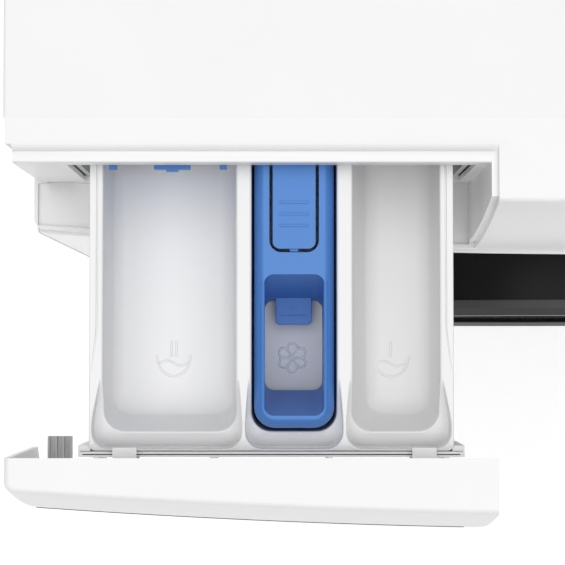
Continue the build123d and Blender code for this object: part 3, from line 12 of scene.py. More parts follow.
import bmesh
import bpy
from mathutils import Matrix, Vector


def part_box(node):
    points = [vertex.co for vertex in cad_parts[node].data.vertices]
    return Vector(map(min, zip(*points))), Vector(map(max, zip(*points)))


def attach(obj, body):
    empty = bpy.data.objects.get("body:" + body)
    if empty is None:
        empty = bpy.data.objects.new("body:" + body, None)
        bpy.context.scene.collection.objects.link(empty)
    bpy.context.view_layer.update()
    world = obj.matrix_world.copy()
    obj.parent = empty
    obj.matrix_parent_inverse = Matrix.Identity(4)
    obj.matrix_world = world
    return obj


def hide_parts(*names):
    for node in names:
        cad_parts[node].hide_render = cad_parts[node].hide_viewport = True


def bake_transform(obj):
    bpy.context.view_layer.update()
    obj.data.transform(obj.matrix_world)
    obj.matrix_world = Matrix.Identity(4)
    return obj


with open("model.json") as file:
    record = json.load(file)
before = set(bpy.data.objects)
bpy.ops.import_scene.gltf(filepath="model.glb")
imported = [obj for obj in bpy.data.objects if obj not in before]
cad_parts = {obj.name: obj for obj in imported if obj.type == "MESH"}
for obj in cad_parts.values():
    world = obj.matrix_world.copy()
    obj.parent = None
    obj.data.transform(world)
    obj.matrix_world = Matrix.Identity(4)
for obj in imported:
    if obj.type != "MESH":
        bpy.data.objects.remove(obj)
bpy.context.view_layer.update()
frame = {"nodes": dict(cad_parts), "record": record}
nodes = frame["nodes"]
record = frame["record"]
scene = bpy.context.scene
MM = 0.001
DEPTH_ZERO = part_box("front_panel")[0].y
WORKTOP_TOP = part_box("worktop")[1].z
ways = {joint["name"]: joint for joint in record["behaviour"]["joints"]}
TRAVEL = ways["drawer_slide"]["range_m"][1]
AXIS = ways["drum_spin"]["pos_m"][2]
print("solids", len(nodes), "height", round(WORKTOP_TOP, 3), "drawer pulled out by", TRAVEL)

# %% [markdown]
# Finishes. The machine is made of moulded plastic, enamelled and zinc-coated sheet, rubber, steel and
# glass. A flat colour for each would be quick, but a real surface is never one colour: so a little noise
# moves its colour and its roughness, and a finer noise lifts the surface by hundredths of a millimetre,
# which breaks up the highlights. All nodes read Object coordinates, so a finish stays on its piece in any
# pose. Zinc gets flat crystals from a Voronoi pattern. Glass could bend the light, but behind two panes
# that leaves a noisy picture, so light passes straight through it here, tinted, and a small share is
# mirrored.

# %% Helpers that build node trees
def put(target, **values):
    """Set a node's inputs by their names."""
    for name, value in values.items():
        target.inputs[name.replace("_", " ")].default_value = value
    return target


def node(tree, kind, **values):
    """New node in a tree, with values for its inputs."""
    return put(tree.nodes.new(kind), **values)


def wire(source, output, target, socket):
    """Link one node's output to another node's input."""
    source.id_data.links.new(source.outputs[output], target.inputs[socket])


def ramp(tree, colours, spots=(0, 1)):
    """Colour ramp between two colours, at two spots."""
    new = node(tree, "ShaderNodeValToRGB")
    for stop, colour, spot in zip(new.color_ramp.elements, colours, spots):
        stop.color = (*colour, 1)
        stop.position = spot
    return new


# %% Helper for plastic, enamel, rubber and metal
CLOUDS = 14
CLOUD_RANGE = (0.3, 0.7)
ROUGHNESS_SPREAD = 0.06
COAT_ROUGHNESS = 0.08
BUMP_LIFT = 0.5 * MM


def finish(name, colour, roughness, grain, drift, metallic=0.0, stretch=(1, 1, 1), coat=0.0, specular=0.5):
    """Procedural finish. grain is the bump's scale per metre and its strength, drift the shift of colour."""
    material = bpy.data.materials.new(name)
    material.use_nodes = True
    tree = material.node_tree
    shader = put(tree.nodes["Principled BSDF"], Metallic=metallic, Coat_Weight=coat,
                 Coat_Roughness=COAT_ROUGHNESS, Specular_IOR_Level=specular)
    turn = node(tree, "ShaderNodeMapping", Scale=stretch)
    wire(node(tree, "ShaderNodeTexCoord"), "Object", turn, "Vector")
    cloud = node(tree, "ShaderNodeTexNoise", Scale=CLOUDS, Detail=4)
    wire(turn, "Vector", cloud, "Vector")
    shades = ramp(tree, [[min(1, c * (1 + by)) for c in colour] for by in (-drift, drift)], CLOUD_RANGE)
    wire(cloud, "Fac", shades, "Fac")
    wire(shades, "Color", shader, "Base Color")
    speck = node(tree, "ShaderNodeTexNoise", Scale=grain[0], Detail=3)
    wire(turn, "Vector", speck, "Vector")
    rough = node(tree, "ShaderNodeMapRange", To_Min=max(0.02, roughness - ROUGHNESS_SPREAD),
                 To_Max=min(1.0, roughness + ROUGHNESS_SPREAD))
    wire(speck, "Fac", rough, "Value")
    wire(rough, "Result", shader, "Roughness")
    bump = node(tree, "ShaderNodeBump", Strength=grain[1], Distance=BUMP_LIFT)
    wire(speck, "Fac", bump, "Height")
    wire(bump, "Normal", shader, "Normal")
    return material


# %% Helper for glass
def clear(name, colour, roughness, gloss):
    """See-through finish: light passes straight through, tinted, and a share of it is mirrored."""
    material = bpy.data.materials.new(name)
    material.use_nodes = True
    tree = material.node_tree
    tree.nodes.remove(tree.nodes["Principled BSDF"])
    both = node(tree, "ShaderNodeMixShader", Fac=gloss)
    wire(node(tree, "ShaderNodeBsdfTransparent", Color=(*colour, 1)), "BSDF", both, 1)
    wire(node(tree, "ShaderNodeBsdfGlossy", Roughness=roughness), "BSDF", both, 2)
    wire(both, "Shader", tree.nodes["Material Output"], "Surface")
    return material


# %% Helper for zinc-coated sheet
CRYSTALS = 95
CRYSTAL_SHADES = (0.93, 1.06)
CRYSTAL_SPREAD = 0.08


def spangled(name, colour, roughness):
    """Zinc-coated sheet: flat crystals, each a little lighter or darker and a little more or less shiny."""
    material = finish(name, colour, roughness, grain=(160, 0.03), drift=0.0, metallic=0.85)
    tree = material.node_tree
    shader = tree.nodes["Principled BSDF"]
    crystals = node(tree, "ShaderNodeTexVoronoi", Scale=CRYSTALS, Randomness=0.9)
    wire(node(tree, "ShaderNodeTexCoord"), "Object", crystals, "Vector")
    split = node(tree, "ShaderNodeSeparateColor")
    wire(crystals, "Color", split, "Color")
    shades = ramp(tree, [[c * by for c in colour] for by in CRYSTAL_SHADES])
    wire(split, "Red", shades, "Fac")
    wire(shades, "Color", shader, "Base Color")
    shine = node(tree, "ShaderNodeMapRange", To_Min=roughness - CRYSTAL_SPREAD,
                 To_Max=roughness + CRYSTAL_SPREAD)
    wire(split, "Green", shine, "Value")
    wire(shine, "Result", shader, "Roughness")
    return material


# %% The finishes of the machine
LOOKS = {
    "worktop_white": dict(colour=(0.84, 0.84, 0.84), roughness=0.42, grain=(700, 0.03), drift=0.012),
    "fascia_white": dict(colour=(0.845, 0.845, 0.845), roughness=0.34, grain=(1200, 0.02), drift=0.008),
    "panel_white": dict(colour=(0.86, 0.86, 0.86), roughness=0.3, grain=(420, 0.05), drift=0.01, coat=0.3),
    "tray_white": dict(colour=(0.815, 0.815, 0.82), roughness=0.46, grain=(1500, 0.03), drift=0.008),
    "insert_blue": dict(colour=(0.08, 0.232, 0.6), roughness=0.4, grain=(1500, 0.03), drift=0.02,
                        specular=0.3),
    "clip_grey": dict(colour=(0.5, 0.5, 0.5), roughness=0.5, grain=(1300, 0.04), drift=0.03),
    "housing_grey": dict(colour=(0.5, 0.51, 0.52), roughness=0.5, grain=(900, 0.05), drift=0.04),
    "dark_plastic": dict(colour=(0.03, 0.03, 0.032), roughness=0.5, grain=(900, 0.06), drift=0.1),
    "board": dict(colour=(0.02, 0.09, 0.035), roughness=0.45, grain=(600, 0.06), drift=0.15),
    "display_dark": dict(colour=(0.006, 0.006, 0.008), roughness=0.1, grain=(300, 0.004), drift=0.1,
                         coat=0.6),
    "knob_silver": dict(colour=(0.62, 0.63, 0.64), roughness=0.28, grain=(1100, 0.03), drift=0.03,
                        metallic=0.7),
    "door_black": dict(colour=(0.006, 0.006, 0.006), roughness=0.32, grain=(900, 0.02), drift=0.1,
                       specular=0.12),
    "door_grey": dict(colour=(0.06, 0.06, 0.061), roughness=0.42, grain=(900, 0.03), drift=0.06,
                      specular=0.25),
    "rubber_grey": dict(colour=(0.22, 0.225, 0.23), roughness=0.6, grain=(500, 0.08), drift=0.08),
    "belt_black": dict(colour=(0.012, 0.012, 0.012), roughness=0.65, grain=(500, 0.1), drift=0.15),
    "cast_weight": dict(colour=(0.2, 0.2, 0.205), roughness=0.75, grain=(260, 0.35), drift=0.2),
    "bright_steel": dict(colour=(0.6, 0.6, 0.61), roughness=0.27, grain=(240, 0.03), drift=0.05,
                         metallic=1.0, stretch=(1, 14, 1)),
    "alloy": dict(colour=(0.56, 0.57, 0.58), roughness=0.45, grain=(420, 0.1), drift=0.06, metallic=0.9),
}
FINISHES = {name: finish(name, **look) for name, look in LOOKS.items()}
FINISHES["galvanised"] = spangled("galvanised", (0.56, 0.575, 0.585), 0.4)
FINISHES["smoked_cover"] = clear("smoked_cover", (0.5, 0.5, 0.51), 0.03, gloss=0.035)
FINISHES["clear_glass"] = clear("clear_glass", (0.95, 0.97, 0.965), 0.01, gloss=0.025)
print("finishes", len(FINISHES))

# %% [markdown]
# Solids that keep their shape. Panels, brackets, pulleys and the like are right as solids, but a solid
# arrives as loose triangles with flat shading. It could be modelled again, which would only repeat the CAD.
# So a copy of it has its doubles merged and its flat faces joined up. Curved faces are then shaded
# smoothly, edges sharper than an angle stay crisp, and each corner's normal leans towards its largest face,
# so flat faces stay flat to the eye.

# %% Helpers that give a mesh its place, finish and body
SLOT_OF = {part["node"]: part["material_slot"] for part in record["subparts"]}
BODY_OF = {solid: body for body, solids in record["behaviour"]["bodies"].items() for solid in solids}
made = set()


def link(name, data):
    """New object in the scene, for a mesh, a curve, a light or a camera."""
    piece = bpy.data.objects.new(name, data)
    scene.collection.objects.link(piece)
    return piece


def piece_from(name, shape):
    """New object for the mesh that has been built, which is then let go."""
    mesh = bpy.data.meshes.new(name)
    shape.to_mesh(mesh)
    shape.free()
    return link(name, mesh)


def paint(piece, slot):
    """Give a piece the finish of a slot."""
    piece.data.materials.clear()
    piece.data.materials.append(FINISHES[slot])
    return piece


def fit(piece, slot, body):
    """Give a piece a finish, and the body that it rides on."""
    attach(paint(piece, slot), body)
    return piece


def settle(piece, solid):
    """Give a piece its solid's finish and body, and let it stand for the solid."""
    fit(piece, SLOT_OF[solid], BODY_OF[solid])
    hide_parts(solid)
    made.add(solid)
    return piece


def plain(piece):
    """Mesh that a piece's curves or modifiers end in."""
    view = bpy.context.evaluated_depsgraph_get()
    return bpy.data.meshes.new_from_object(piece.evaluated_get(view))


def applied(piece):
    """Turn a piece's modifiers into plain mesh."""
    mesh = plain(piece)
    piece.modifiers.clear()
    piece.data = mesh
    return piece


# %% Helpers that shade a mesh and cut boxes out of it
FACE_WEIGHT = 90


def lerp(a, b, t):
    """Value between two values."""
    return a + (b - a) * t


def shade(piece, sharp):
    """Smooth shading with crisp edges, and normals that lean towards the large faces."""
    shape = bmesh.new()
    shape.from_mesh(piece.data)
    for face in shape.faces:
        face.smooth = True
    for edge in shape.edges:
        edge.smooth = edge.is_manifold and edge.calc_face_angle() < radians(sharp)
    shape.to_mesh(piece.data)
    shape.free()
    lean = piece.modifiers.new("lean_normals", "WEIGHTED_NORMAL")
    lean.keep_sharp = True
    lean.weight = FACE_WEIGHT
    return applied(piece)


def block(shape, low, high):
    """Put a box into a mesh, from its low to its high corner."""
    for corner in bmesh.ops.create_cube(shape, size=1)["verts"]:
        corner.co = Vector([lerp(a, b, c + 0.5) for a, b, c in zip(low, high, corner.co)])


def slit(piece, low, high):
    """Cut a box out of a piece, from its low to its high corner."""
    cutter = bmesh.new()
    block(cutter, low, high)
    tool = piece_from("slit_cutter", cutter)
    cut = piece.modifiers.new("slit", "BOOLEAN")
    cut.object = tool
    cut.operation = "DIFFERENCE"
    applied(piece)
    bpy.data.objects.remove(tool)
    return piece


# %% Helpers that dress a solid
MERGE = 0.004
FLAT_ANGLE = 0.01
ROUND_ANGLE = 40
LONG_EDGE = 2.5
SHARP_ANGLE = 32


def solid_copy(solid):
    """Copy of a solid with its doubles merged and its flat faces joined up."""
    shape = bmesh.new()
    shape.from_mesh(nodes[solid].data)
    bmesh.ops.remove_doubles(shape, verts=shape.verts, dist=MERGE * MM)
    bmesh.ops.dissolve_limit(shape, angle_limit=radians(FLAT_ANGLE), verts=shape.verts, edges=shape.edges)
    return shape


def shaded_copy(solid, round_mm=0.0, sharp=SHARP_ANGLE, shape=None):
    """Smoothly shaded copy of a solid, with its long sharp edges rounded a little."""
    shape = shape or solid_copy(solid)
    if round_mm:
        weight = shape.edges.layers.float.new("bevel_weight_edge")
        for edge in shape.edges:
            long = edge.calc_length() > LONG_EDGE * round_mm * MM
            if edge.is_manifold and edge.is_convex and long and edge.calc_face_angle() > radians(ROUND_ANGLE):
                edge[weight] = 1.0
    piece = piece_from(solid + "_dressed", shape)
    if round_mm:
        bevel = piece.modifiers.new("soft_edges", "BEVEL")
        bevel.limit_method = "WEIGHT"
        bevel.width = round_mm * MM
        bevel.segments = 2
        applied(piece)
    return shade(piece, sharp)


def dress(solid, **choices):
    """Shaded copy of a solid that stands for it."""
    return settle(shaded_copy(solid, **choices), solid)


# %% [markdown]
# The worktop is a board that covers the machine, and its front edge closes on the fascia. The solids keep a
# gap between the two for clearance, which reads as a dark line from above. The front corners of the copy
# are drawn forward instead of modelling a seal, until only a hair line is left.

# %% Dress the worktop
FRONT_BAND = 0.05
DRAWN_FORWARD = 0.28
board = solid_copy("worktop")
board_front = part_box("worktop")[0].y
for corner in board.verts:
    if corner.co.y < board_front + FRONT_BAND * MM:
        corner.co.y -= DRAWN_FORWARD * MM
dress("worktop", shape=board)
print("worktop drawn forward by", DRAWN_FORWARD)

# %% [markdown]
# The detergent tray is one thin moulding with three cups. The eye sees its rounded rims, the hollow that
# falls away round the front of each cup, and the groove along its outer edges. It could be cut from a block
# with many Booleans, but their edges are hard to round. So loops of points with the same count are stacked
# from a cup's floor up its walls, over its lip, down into the hollow and up to the rim, and joined with
# quads. The flat top is then filled in between the loops.

# %% Sizes of the tray, in millimetres
tray_low, tray_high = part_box("drawer_tray")
WING = 5
TRAY_LEFT = tray_low.x / MM + WING
TRAY_RIGHT = tray_high.x / MM - WING
TRAY_FRONT = (tray_low.y - DEPTH_ZERO + TRAVEL) / MM
TRAY_BACK = (tray_high.y - DEPTH_ZERO + TRAVEL) / MM
RIM = tray_high.z / MM
UNDER = tray_low.z / MM
FLOOR = UNDER + 2.5
CUP_FRONT = TRAY_FRONT + 8.5
CUP_BACK = TRAY_BACK - 4
CUP_ROUND = 9
MOUTH_LEVEL = RIM + 1
HOLLOW_WALL = 1.3
HOLLOW_START = 31.7
HOLLOW_FALL = 12
FRONT_DIP = 6.5
RIDGE = 1.7
RIB = 6.9
OUTER = 6.2
WIDTHS = (60.6, 39.0, 39.9)
LEFT_CUP = TRAY_LEFT + OUTER
MIDDLE_CUP = LEFT_CUP + WIDTHS[0] + RIB
RIGHT_CUP = MIDDLE_CUP + WIDTHS[1] + RIB
print("tray", round(TRAY_RIGHT - TRAY_LEFT, 1), "by", round(TRAY_BACK - TRAY_FRONT, 1))


def place(x, depth, z):
    """Point on the pulled-out drawer, from millimetres across, back from the front panel, and up."""
    return Vector((x * MM, DEPTH_ZERO - TRAVEL + depth * MM, z * MM))


# %% Loops of points
CORNER_STEPS = 9
ACROSS_STEPS = 12
SIDE_STEPS = (0, 0.006, 0.013, 0.02, 0.03, 0.04, 0.05, 0.06, 0.07, 0.08, 0.09, 0.1, 0.115, 0.13, 0.15, 0.18,
              0.22, 0.3, 0.45, 0.6, 0.8, 1)


def ease(t):
    """Smooth step from 0 to 1."""
    t = min(1.0, max(0.0, t))
    return t * t * (3 - 2 * t)


def loop(x0, x1, d0, d1, front_round, back_round):
    """Rounded rectangle seen from above, as a fixed number of (x, depth) points, anticlockwise."""
    points = []

    def arc(x, d, radius, start):
        for step in range(CORNER_STEPS):
            a = radians(start + 90 * step / CORNER_STEPS)
            points.append((x + radius * cos(a), d + radius * sin(a)))
    for step in range(ACROSS_STEPS):
        points.append((lerp(x0 + front_round, x1 - front_round, step / ACROSS_STEPS), d0))
    arc(x1 - front_round, d0 + front_round, front_round, -90)
    for t in SIDE_STEPS[:-1]:
        points.append((x1, lerp(d0 + front_round, d1 - back_round, t)))
    arc(x1 - back_round, d1 - back_round, back_round, 0)
    for step in range(ACROSS_STEPS):
        points.append((lerp(x1 - back_round, x0 + back_round, step / ACROSS_STEPS), d1))
    arc(x0 + back_round, d1 - back_round, back_round, 90)
    for t in reversed(SIDE_STEPS[1:]):
        points.append((x0, lerp(d0 + front_round, d1 - back_round, t)))
    arc(x0 + front_round, d0 + front_round, front_round, 180)
    return points


def set_in(box, inset, rounds):
    """Loop set in by a distance from a box (x0, x1, d0, d1), whose front and back corners are rounded."""
    x0, x1, d0, d1 = box
    return loop(x0 + inset, x1 - inset, d0 + inset, d1 - inset, *[rounded - inset for rounded in rounds])


def between(low, high, t):
    """Loop part of the way from one loop to another."""
    return [(lerp(a[0], b[0], t), lerp(a[1], b[1], t)) for a, b in zip(low, high)]


# %% Helpers that put loops into a mesh
def lay(shape, points, heights):
    """Put a loop into a mesh, at one height or at a height for each point."""
    level = heights if hasattr(heights, "__len__") else [heights] * len(points)
    return [shape.verts.new(place(x, d, z)) for (x, d), z in zip(points, level)]


def skin(shape, rings):
    """Join each loop to the next with quads."""
    for low, high in zip(rings, rings[1:]):
        for i in range(len(low)):
            j = (i + 1) % len(low)
            shape.faces.new((low[i], low[j], high[j], high[i]))


def close(shape, rings):
    """Join a stack of loops, and close its two ends."""
    skin(shape, rings)
    shape.faces.new(rings[-1])
    shape.faces.new(rings[0][::-1])


def fill_between(shape, rings):
    """Fill the flat face that lies between loops."""
    borders = []
    for ring in rings:
        for a, b in zip(ring, ring[-1:] + ring[:-1]):
            borders.append(shape.edges.get((a, b)) or shape.edges.new((a, b)))
    bmesh.ops.triangle_fill(shape, use_beauty=True, use_dissolve=False, edges=borders)
    bmesh.ops.recalc_face_normals(shape, faces=shape.faces)


# %% The hollow's fall
def circle_through(a, b, c):
    """Centre and radius of the circle through three points."""
    d = 2 * (a[0] * (b[1] - c[1]) + b[0] * (c[1] - a[1]) + c[0] * (a[1] - b[1]))
    sums = [p[0] ** 2 + p[1] ** 2 for p in (a, b, c)]
    x = (sums[0] * (b[1] - c[1]) + sums[1] * (c[1] - a[1]) + sums[2] * (a[1] - b[1])) / d
    y = (sums[0] * (c[0] - b[0]) + sums[1] * (a[0] - c[0]) + sums[2] * (b[0] - a[0])) / d
    return x, y, sqrt((a[0] - x) ** 2 + (a[1] - y) ** 2)


HOLLOW_BACK = TRAY_FRONT + HOLLOW_START
HOLLOW_FRONT = TRAY_FRONT + 0.75
half_way = (HOLLOW_BACK - 0.45 * HOLLOW_START, -0.7 * HOLLOW_FALL)
bend = circle_through((HOLLOW_BACK, 0), half_way, (HOLLOW_FRONT, -HOLLOW_FALL))


def fall(depth):
    """How far the hollow lies below the rim at a depth."""
    if depth >= HOLLOW_BACK:
        return 0.0
    depth = max(depth, HOLLOW_FRONT)
    dip = max(0.0, (CUP_FRONT - depth) / (CUP_FRONT - HOLLOW_FRONT))
    return -(bend[1] - sqrt(bend[2] ** 2 - (depth - bend[0]) ** 2)) + FRONT_DIP * dip * dip


FRONT_SLOPE = 0.8
SLOPE_LENGTH = 3


def front_drop(depth):
    """How far the front wall's top lies below the rim at a depth."""
    return FRONT_SLOPE * ease((TRAY_FRONT + SLOPE_LENGTH - depth) / SLOPE_LENGTH)


print("hollow falls", [round(fall(d), 2) for d in (36, 42, 50, 58, 64, 66)])


# %% One cup, from its floor to the rim round its hollow
LEAST_ROUND = 1.5
BACK_DRAFT = 3
LIP_ROUND = 1.0
HAIR = 0.1
SPREAD_START = HOLLOW_BACK + 3
SPREAD_LENGTH = 15
FLOOR_STEPS = 6
WALL_STEPS = 4
HOLLOW_STEPS = (0.2, 0.4, 0.6, 0.8, 0.95)


def cup_rings(shape, x0, x1, floor_x0, floor_x1, draft, floor_round, front_run, edge0, edge1):
    """Faces of one cup. Returns its outermost loop, which lies in the top face."""
    def outline(z, inset):
        t = (z - FLOOR) / (MOUTH_LEVEL - FLOOR)
        rounded = max(LEAST_ROUND, CUP_ROUND - inset)
        front = lerp(CUP_FRONT + draft, CUP_FRONT, t) + inset * (front_run if inset > 0 else 1)
        back = lerp(CUP_BACK - BACK_DRAFT, CUP_BACK, t) - inset
        left, right = lerp(floor_x0, x0, t) + inset, lerp(floor_x1, x1, t) - inset
        return loop(left, right, front, back, rounded, rounded)
    rings = []
    for step in range(FLOOR_STEPS + 1):
        a = radians(90 * step / FLOOR_STEPS)
        z = FLOOR + floor_round * (1 - cos(a))
        rings.append(lay(shape, outline(z, floor_round * (1 - sin(a))), z))
    shape.faces.new(rings[0])
    foot = outline(FLOOR + floor_round, 0)
    mouth = outline(RIM, 0)
    lip = [RIM - fall(d) for x, d in mouth]
    for step in range(1, WALL_STEPS + 1):
        t = step / WALL_STEPS
        rings.append(lay(shape, between(foot, mouth, t),
                         [lerp(FLOOR + floor_round, z - LIP_ROUND, t) for z in lip]))
    for angle in (30, 60, 90):
        a = radians(angle)
        rings.append(lay(shape, outline(RIM, -LIP_ROUND * (1 - cos(a))),
                         [z - LIP_ROUND * (1 - sin(a)) for z in lip]))
    near = outline(RIM, -LIP_ROUND - HAIR)
    far = loop(edge0, edge1, HOLLOW_FRONT, CUP_BACK + LIP_ROUND + HAIR, CUP_ROUND - 1, CUP_ROUND)
    edge = []
    for n, f in zip(near, far):
        t = ease((SPREAD_START - n[1]) / SPREAD_LENGTH)
        edge.append((lerp(n[0], f[0], t), lerp(n[1], f[1], t)))
    lips = outline(RIM, -LIP_ROUND)
    for t in HOLLOW_STEPS:
        part = between(lips, edge, t)
        rings.append(lay(shape, part, [RIM - fall(d) for x, d in part]))
    drop = [fall(d) for x, d in edge]
    rings.append(lay(shape, edge, [RIM - f + min(0.5, 0.4 * f) for f in drop]))
    rings.append(lay(shape, edge_out(edge, 0.05), [RIM - min(0.4, 0.3 * f) - front_drop(e[1])
                                                   for f, e in zip(drop, edge)]))
    rings.append(lay(shape, edge_out(edge, 0.4), [RIM - front_drop(d) for x, d in edge_out(edge, 0.4)]))
    skin(shape, rings)
    return rings[-1]


def edge_out(points, distance):
    """A loop moved outwards by a distance."""
    moved = []
    for i, (x, d) in enumerate(points):
        before = points[i - 1]
        after = points[(i + 1) % len(points)]
        run = Vector((after[0] - before[0], after[1] - before[1]))
        run.normalize()
        moved.append((x + run.y * distance, d - run.x * distance))
    return moved


# %% The outside of the tray, with the groove along its rim
SHELF = 3.4
GROOVE = 1.2
SHELF_START = TRAY_FRONT + 39
SHELF_BLEND = 6
SHELL_ROUND = 3


def shell_rings(shape):
    """Faces of the outside. Returns the loop round the top face."""
    def outline(inset, shelf=0.0):
        points = []
        rounded = SHELL_ROUND - inset * 0.9
        for x, d in loop(TRAY_LEFT + inset, TRAY_RIGHT - inset, TRAY_FRONT + inset, TRAY_BACK - inset,
                         rounded, rounded):
            in_by = inset + shelf * SHELF * ease((d - SHELF_START) / SHELF_BLEND)
            points.append((min(max(x, TRAY_LEFT + in_by), TRAY_RIGHT - in_by), d))
        return points
    base = outline(0)
    grooved = [ease((d - SHELF_START) / SHELF_BLEND) for x, d in base]
    top = [RIM - front_drop(d) for x, d in base]
    rings = [lay(shape, outline(inset), UNDER + rise) for inset, rise in ((2, 0), (0.6, 0.6), (0, 2))]
    for inset, shelf, drop, deeper in ((0, 0, 0.6, 0), (0.25, 0, 0.25, 0), (0.3, 0.76, 0.2, 0.1),
                                       (0.33, 0.84, 0.15, GROOVE - 0.15), (0.36, 0.93, 0.1, GROOVE - 0.1),
                                       (0.4, 1.0, 0.05, 0.1), (0.5, 1.06, 0, 0)):
        rings.append(lay(shape, outline(inset, shelf), [z - drop - deeper * t for z, t in zip(top, grooved)]))
    skin(shape, rings)
    shape.faces.new(rings[0][::-1])
    return rings[-1]


# %% Build the tray
tray = bmesh.new()
ribs = [MIDDLE_CUP - RIB / 2, RIGHT_CUP - RIB / 2]
starts = [TRAY_LEFT + HOLLOW_WALL] + [rib + RIDGE / 2 for rib in ribs]
ends = [rib - RIDGE / 2 for rib in ribs] + [TRAY_RIGHT - HOLLOW_WALL]
cups = list(zip((LEFT_CUP, MIDDLE_CUP, RIGHT_CUP), WIDTHS))
FLOOR_INSETS = ((0.4, 2.5), (0.6, 0.6), (8.7, 1))
FRONT_DRAFTS = (7, 1, 7)
FLOOR_ROUNDS = (7, 3, 7)
FRONT_RUNS = (2.2, 1, 1.3)
rims = []
shapes = zip(FRONT_DRAFTS, FLOOR_ROUNDS, FRONT_RUNS, starts, ends)
for (x, width), insets, shape in zip(cups, FLOOR_INSETS, shapes):
    rims.append(cup_rings(tray, x, x + width, x + insets[0], x + width - insets[1], *shape))
fill_between(tray, rims + [shell_rings(tray)])
print("tray faces", len(tray.faces))

# %% Wings of the tray, and a drain slot at the back of each cup
WING_OVERLAP = 0.6
WING_DEPTH = 2.4
WING_LOW = FLOOR + 8
WING_HIGH = RIM - 2
for x0, x1 in ((TRAY_LEFT - WING, TRAY_LEFT + WING_OVERLAP), (TRAY_RIGHT - WING_OVERLAP, TRAY_RIGHT + WING)):
    block(tray, place(x0, TRAY_FRONT, WING_LOW), place(x1, TRAY_FRONT + WING_DEPTH, WING_HIGH))
tray_piece = piece_from("tray_moulding", tray)
DRAIN_HALF = 9
DRAIN_LEVELS = (2, 12)
for x, width in cups:
    middle = x + width / 2
    slit(tray_piece, place(middle - DRAIN_HALF, CUP_BACK - 6, FLOOR + DRAIN_LEVELS[0]),
         place(middle + DRAIN_HALF, TRAY_BACK + 1, FLOOR + DRAIN_LEVELS[1]))
settle(shade(tray_piece, sharp=38), "drawer_tray")
print("tray with drains", len(tray_piece.data.polygons))

# %% [markdown]
# The blue siphon insert covers the middle cup, where softener is drawn off. It is a soft-edged cap with a
# dosing window, whose walls run down as a funnel, and a slot round the tongue that frees the drawer.
# Subdivision of a rough box would give soft edges too, but no control of the slot. So an open skin is made
# from loops, as for the tray, and a Solidify modifier gives it the thickness of the moulding.

# %% Sizes of the insert, in millimetres
INSERT_GAP = 1.2
INSERT_LEFT = MIDDLE_CUP + INSERT_GAP
INSERT_RIGHT = MIDDLE_CUP + WIDTHS[1] - INSERT_GAP
INSERT_X = (INSERT_LEFT + INSERT_RIGHT) / 2
INSERT_FRONT = (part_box("siphon_insert")[0].y - DEPTH_ZERO + TRAVEL) / MM
INSERT_BACK = (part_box("siphon_insert")[1].y - DEPTH_ZERO + TRAVEL) / MM
INSERT_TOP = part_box("siphon_insert")[1].z / MM
INSERT_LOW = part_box("siphon_insert")[0].z / MM
BAND_WIDTH = 4.4
BAND_DROP = 6.8
BAND_START = 20
BAND_STEPS = 10
BAND_CURVE = 1.5
CAP = (INSERT_LEFT, INSERT_RIGHT, INSERT_FRONT - 0.9, INSERT_BACK)
CAP_ROUNDS = (9.6, 9)
CAP_WALL = 1.6
WINDOW = (INSERT_LEFT + 4.6, INSERT_RIGHT - 4.6, INSERT_FRONT + 5, INSERT_FRONT + 69)
WINDOW_ROUNDS = (4.5, 4.5)
FUNNEL_DRAFT = 10.5
TONGUE_BACK = (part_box("release_tongue")[1].y - DEPTH_ZERO + TRAVEL) / MM
SLOT = (INSERT_X - 11.3, INSERT_X + 11.3, TONGUE_BACK - 42.9, TONGUE_BACK + 0.3)
SLOT_ROUNDS = (5.5, 0.6)
print("insert", round(INSERT_RIGHT - INSERT_LEFT, 1), "wide")

# %% Build the insert
cap = bmesh.new()
rings = [lay(cap, set_in(CAP, 0, CAP_ROUNDS), z) for z in (INSERT_LOW, INSERT_TOP - BAND_START)]
for step in range(BAND_STEPS + 1):
    t = step / BAND_STEPS
    rings.append(lay(cap, set_in(CAP, BAND_WIDTH * t, CAP_ROUNDS),
                     INSERT_TOP - BAND_DROP * (1 - t) ** BAND_CURVE))
skin(cap, rings)
funnel = []
for inset, z in ((-0.15, 0), (-0.04, -0.1), (0, -0.4), (0, -1.0)):
    funnel.append(lay(cap, set_in(WINDOW, inset, WINDOW_ROUNDS), INSERT_TOP + z))
x0, x1, d0, d1 = WINDOW
for t in (0.25, 0.5, 0.75, 1.0):
    run = FUNNEL_DRAFT * t
    outline = loop(x0, x1, d0 + run, d1 - run, *WINDOW_ROUNDS)
    funnel.append(lay(cap, outline, lerp(INSERT_TOP - 1, INSERT_LOW, t)))
skin(cap, funnel[::-1])
fill_between(cap, [rings[-1], funnel[0], lay(cap, loop(*SLOT, *SLOT_ROUNDS), INSERT_TOP)])
if max(cap.faces, key=lambda f: f.calc_center_median().z).normal.z < 0:
    bmesh.ops.reverse_faces(cap, faces=cap.faces)
cap_piece = piece_from("siphon_cap", cap)
wall = cap_piece.modifiers.new("wall", "SOLIDIFY")
wall.thickness = CAP_WALL * MM
wall.offset = -1
applied(cap_piece)
settle(shade(cap_piece, sharp=40), "siphon_insert")
print("insert faces", len(cap_piece.data.polygons))

# %% [markdown]
# At the back of the dosing window a small tab shows the fill level, with a plain raised mark: a level line
# and a pointer. The cups' floors carry laundry signs as raised lines: a bowl with a wave and one or two
# bars, and a flower. They could be painted by a material, but a moulded line has to catch the light. So
# they are curves with a round section, half sunk into the floor. The tab is a plate with two rounded
# corners, made from loops of points.

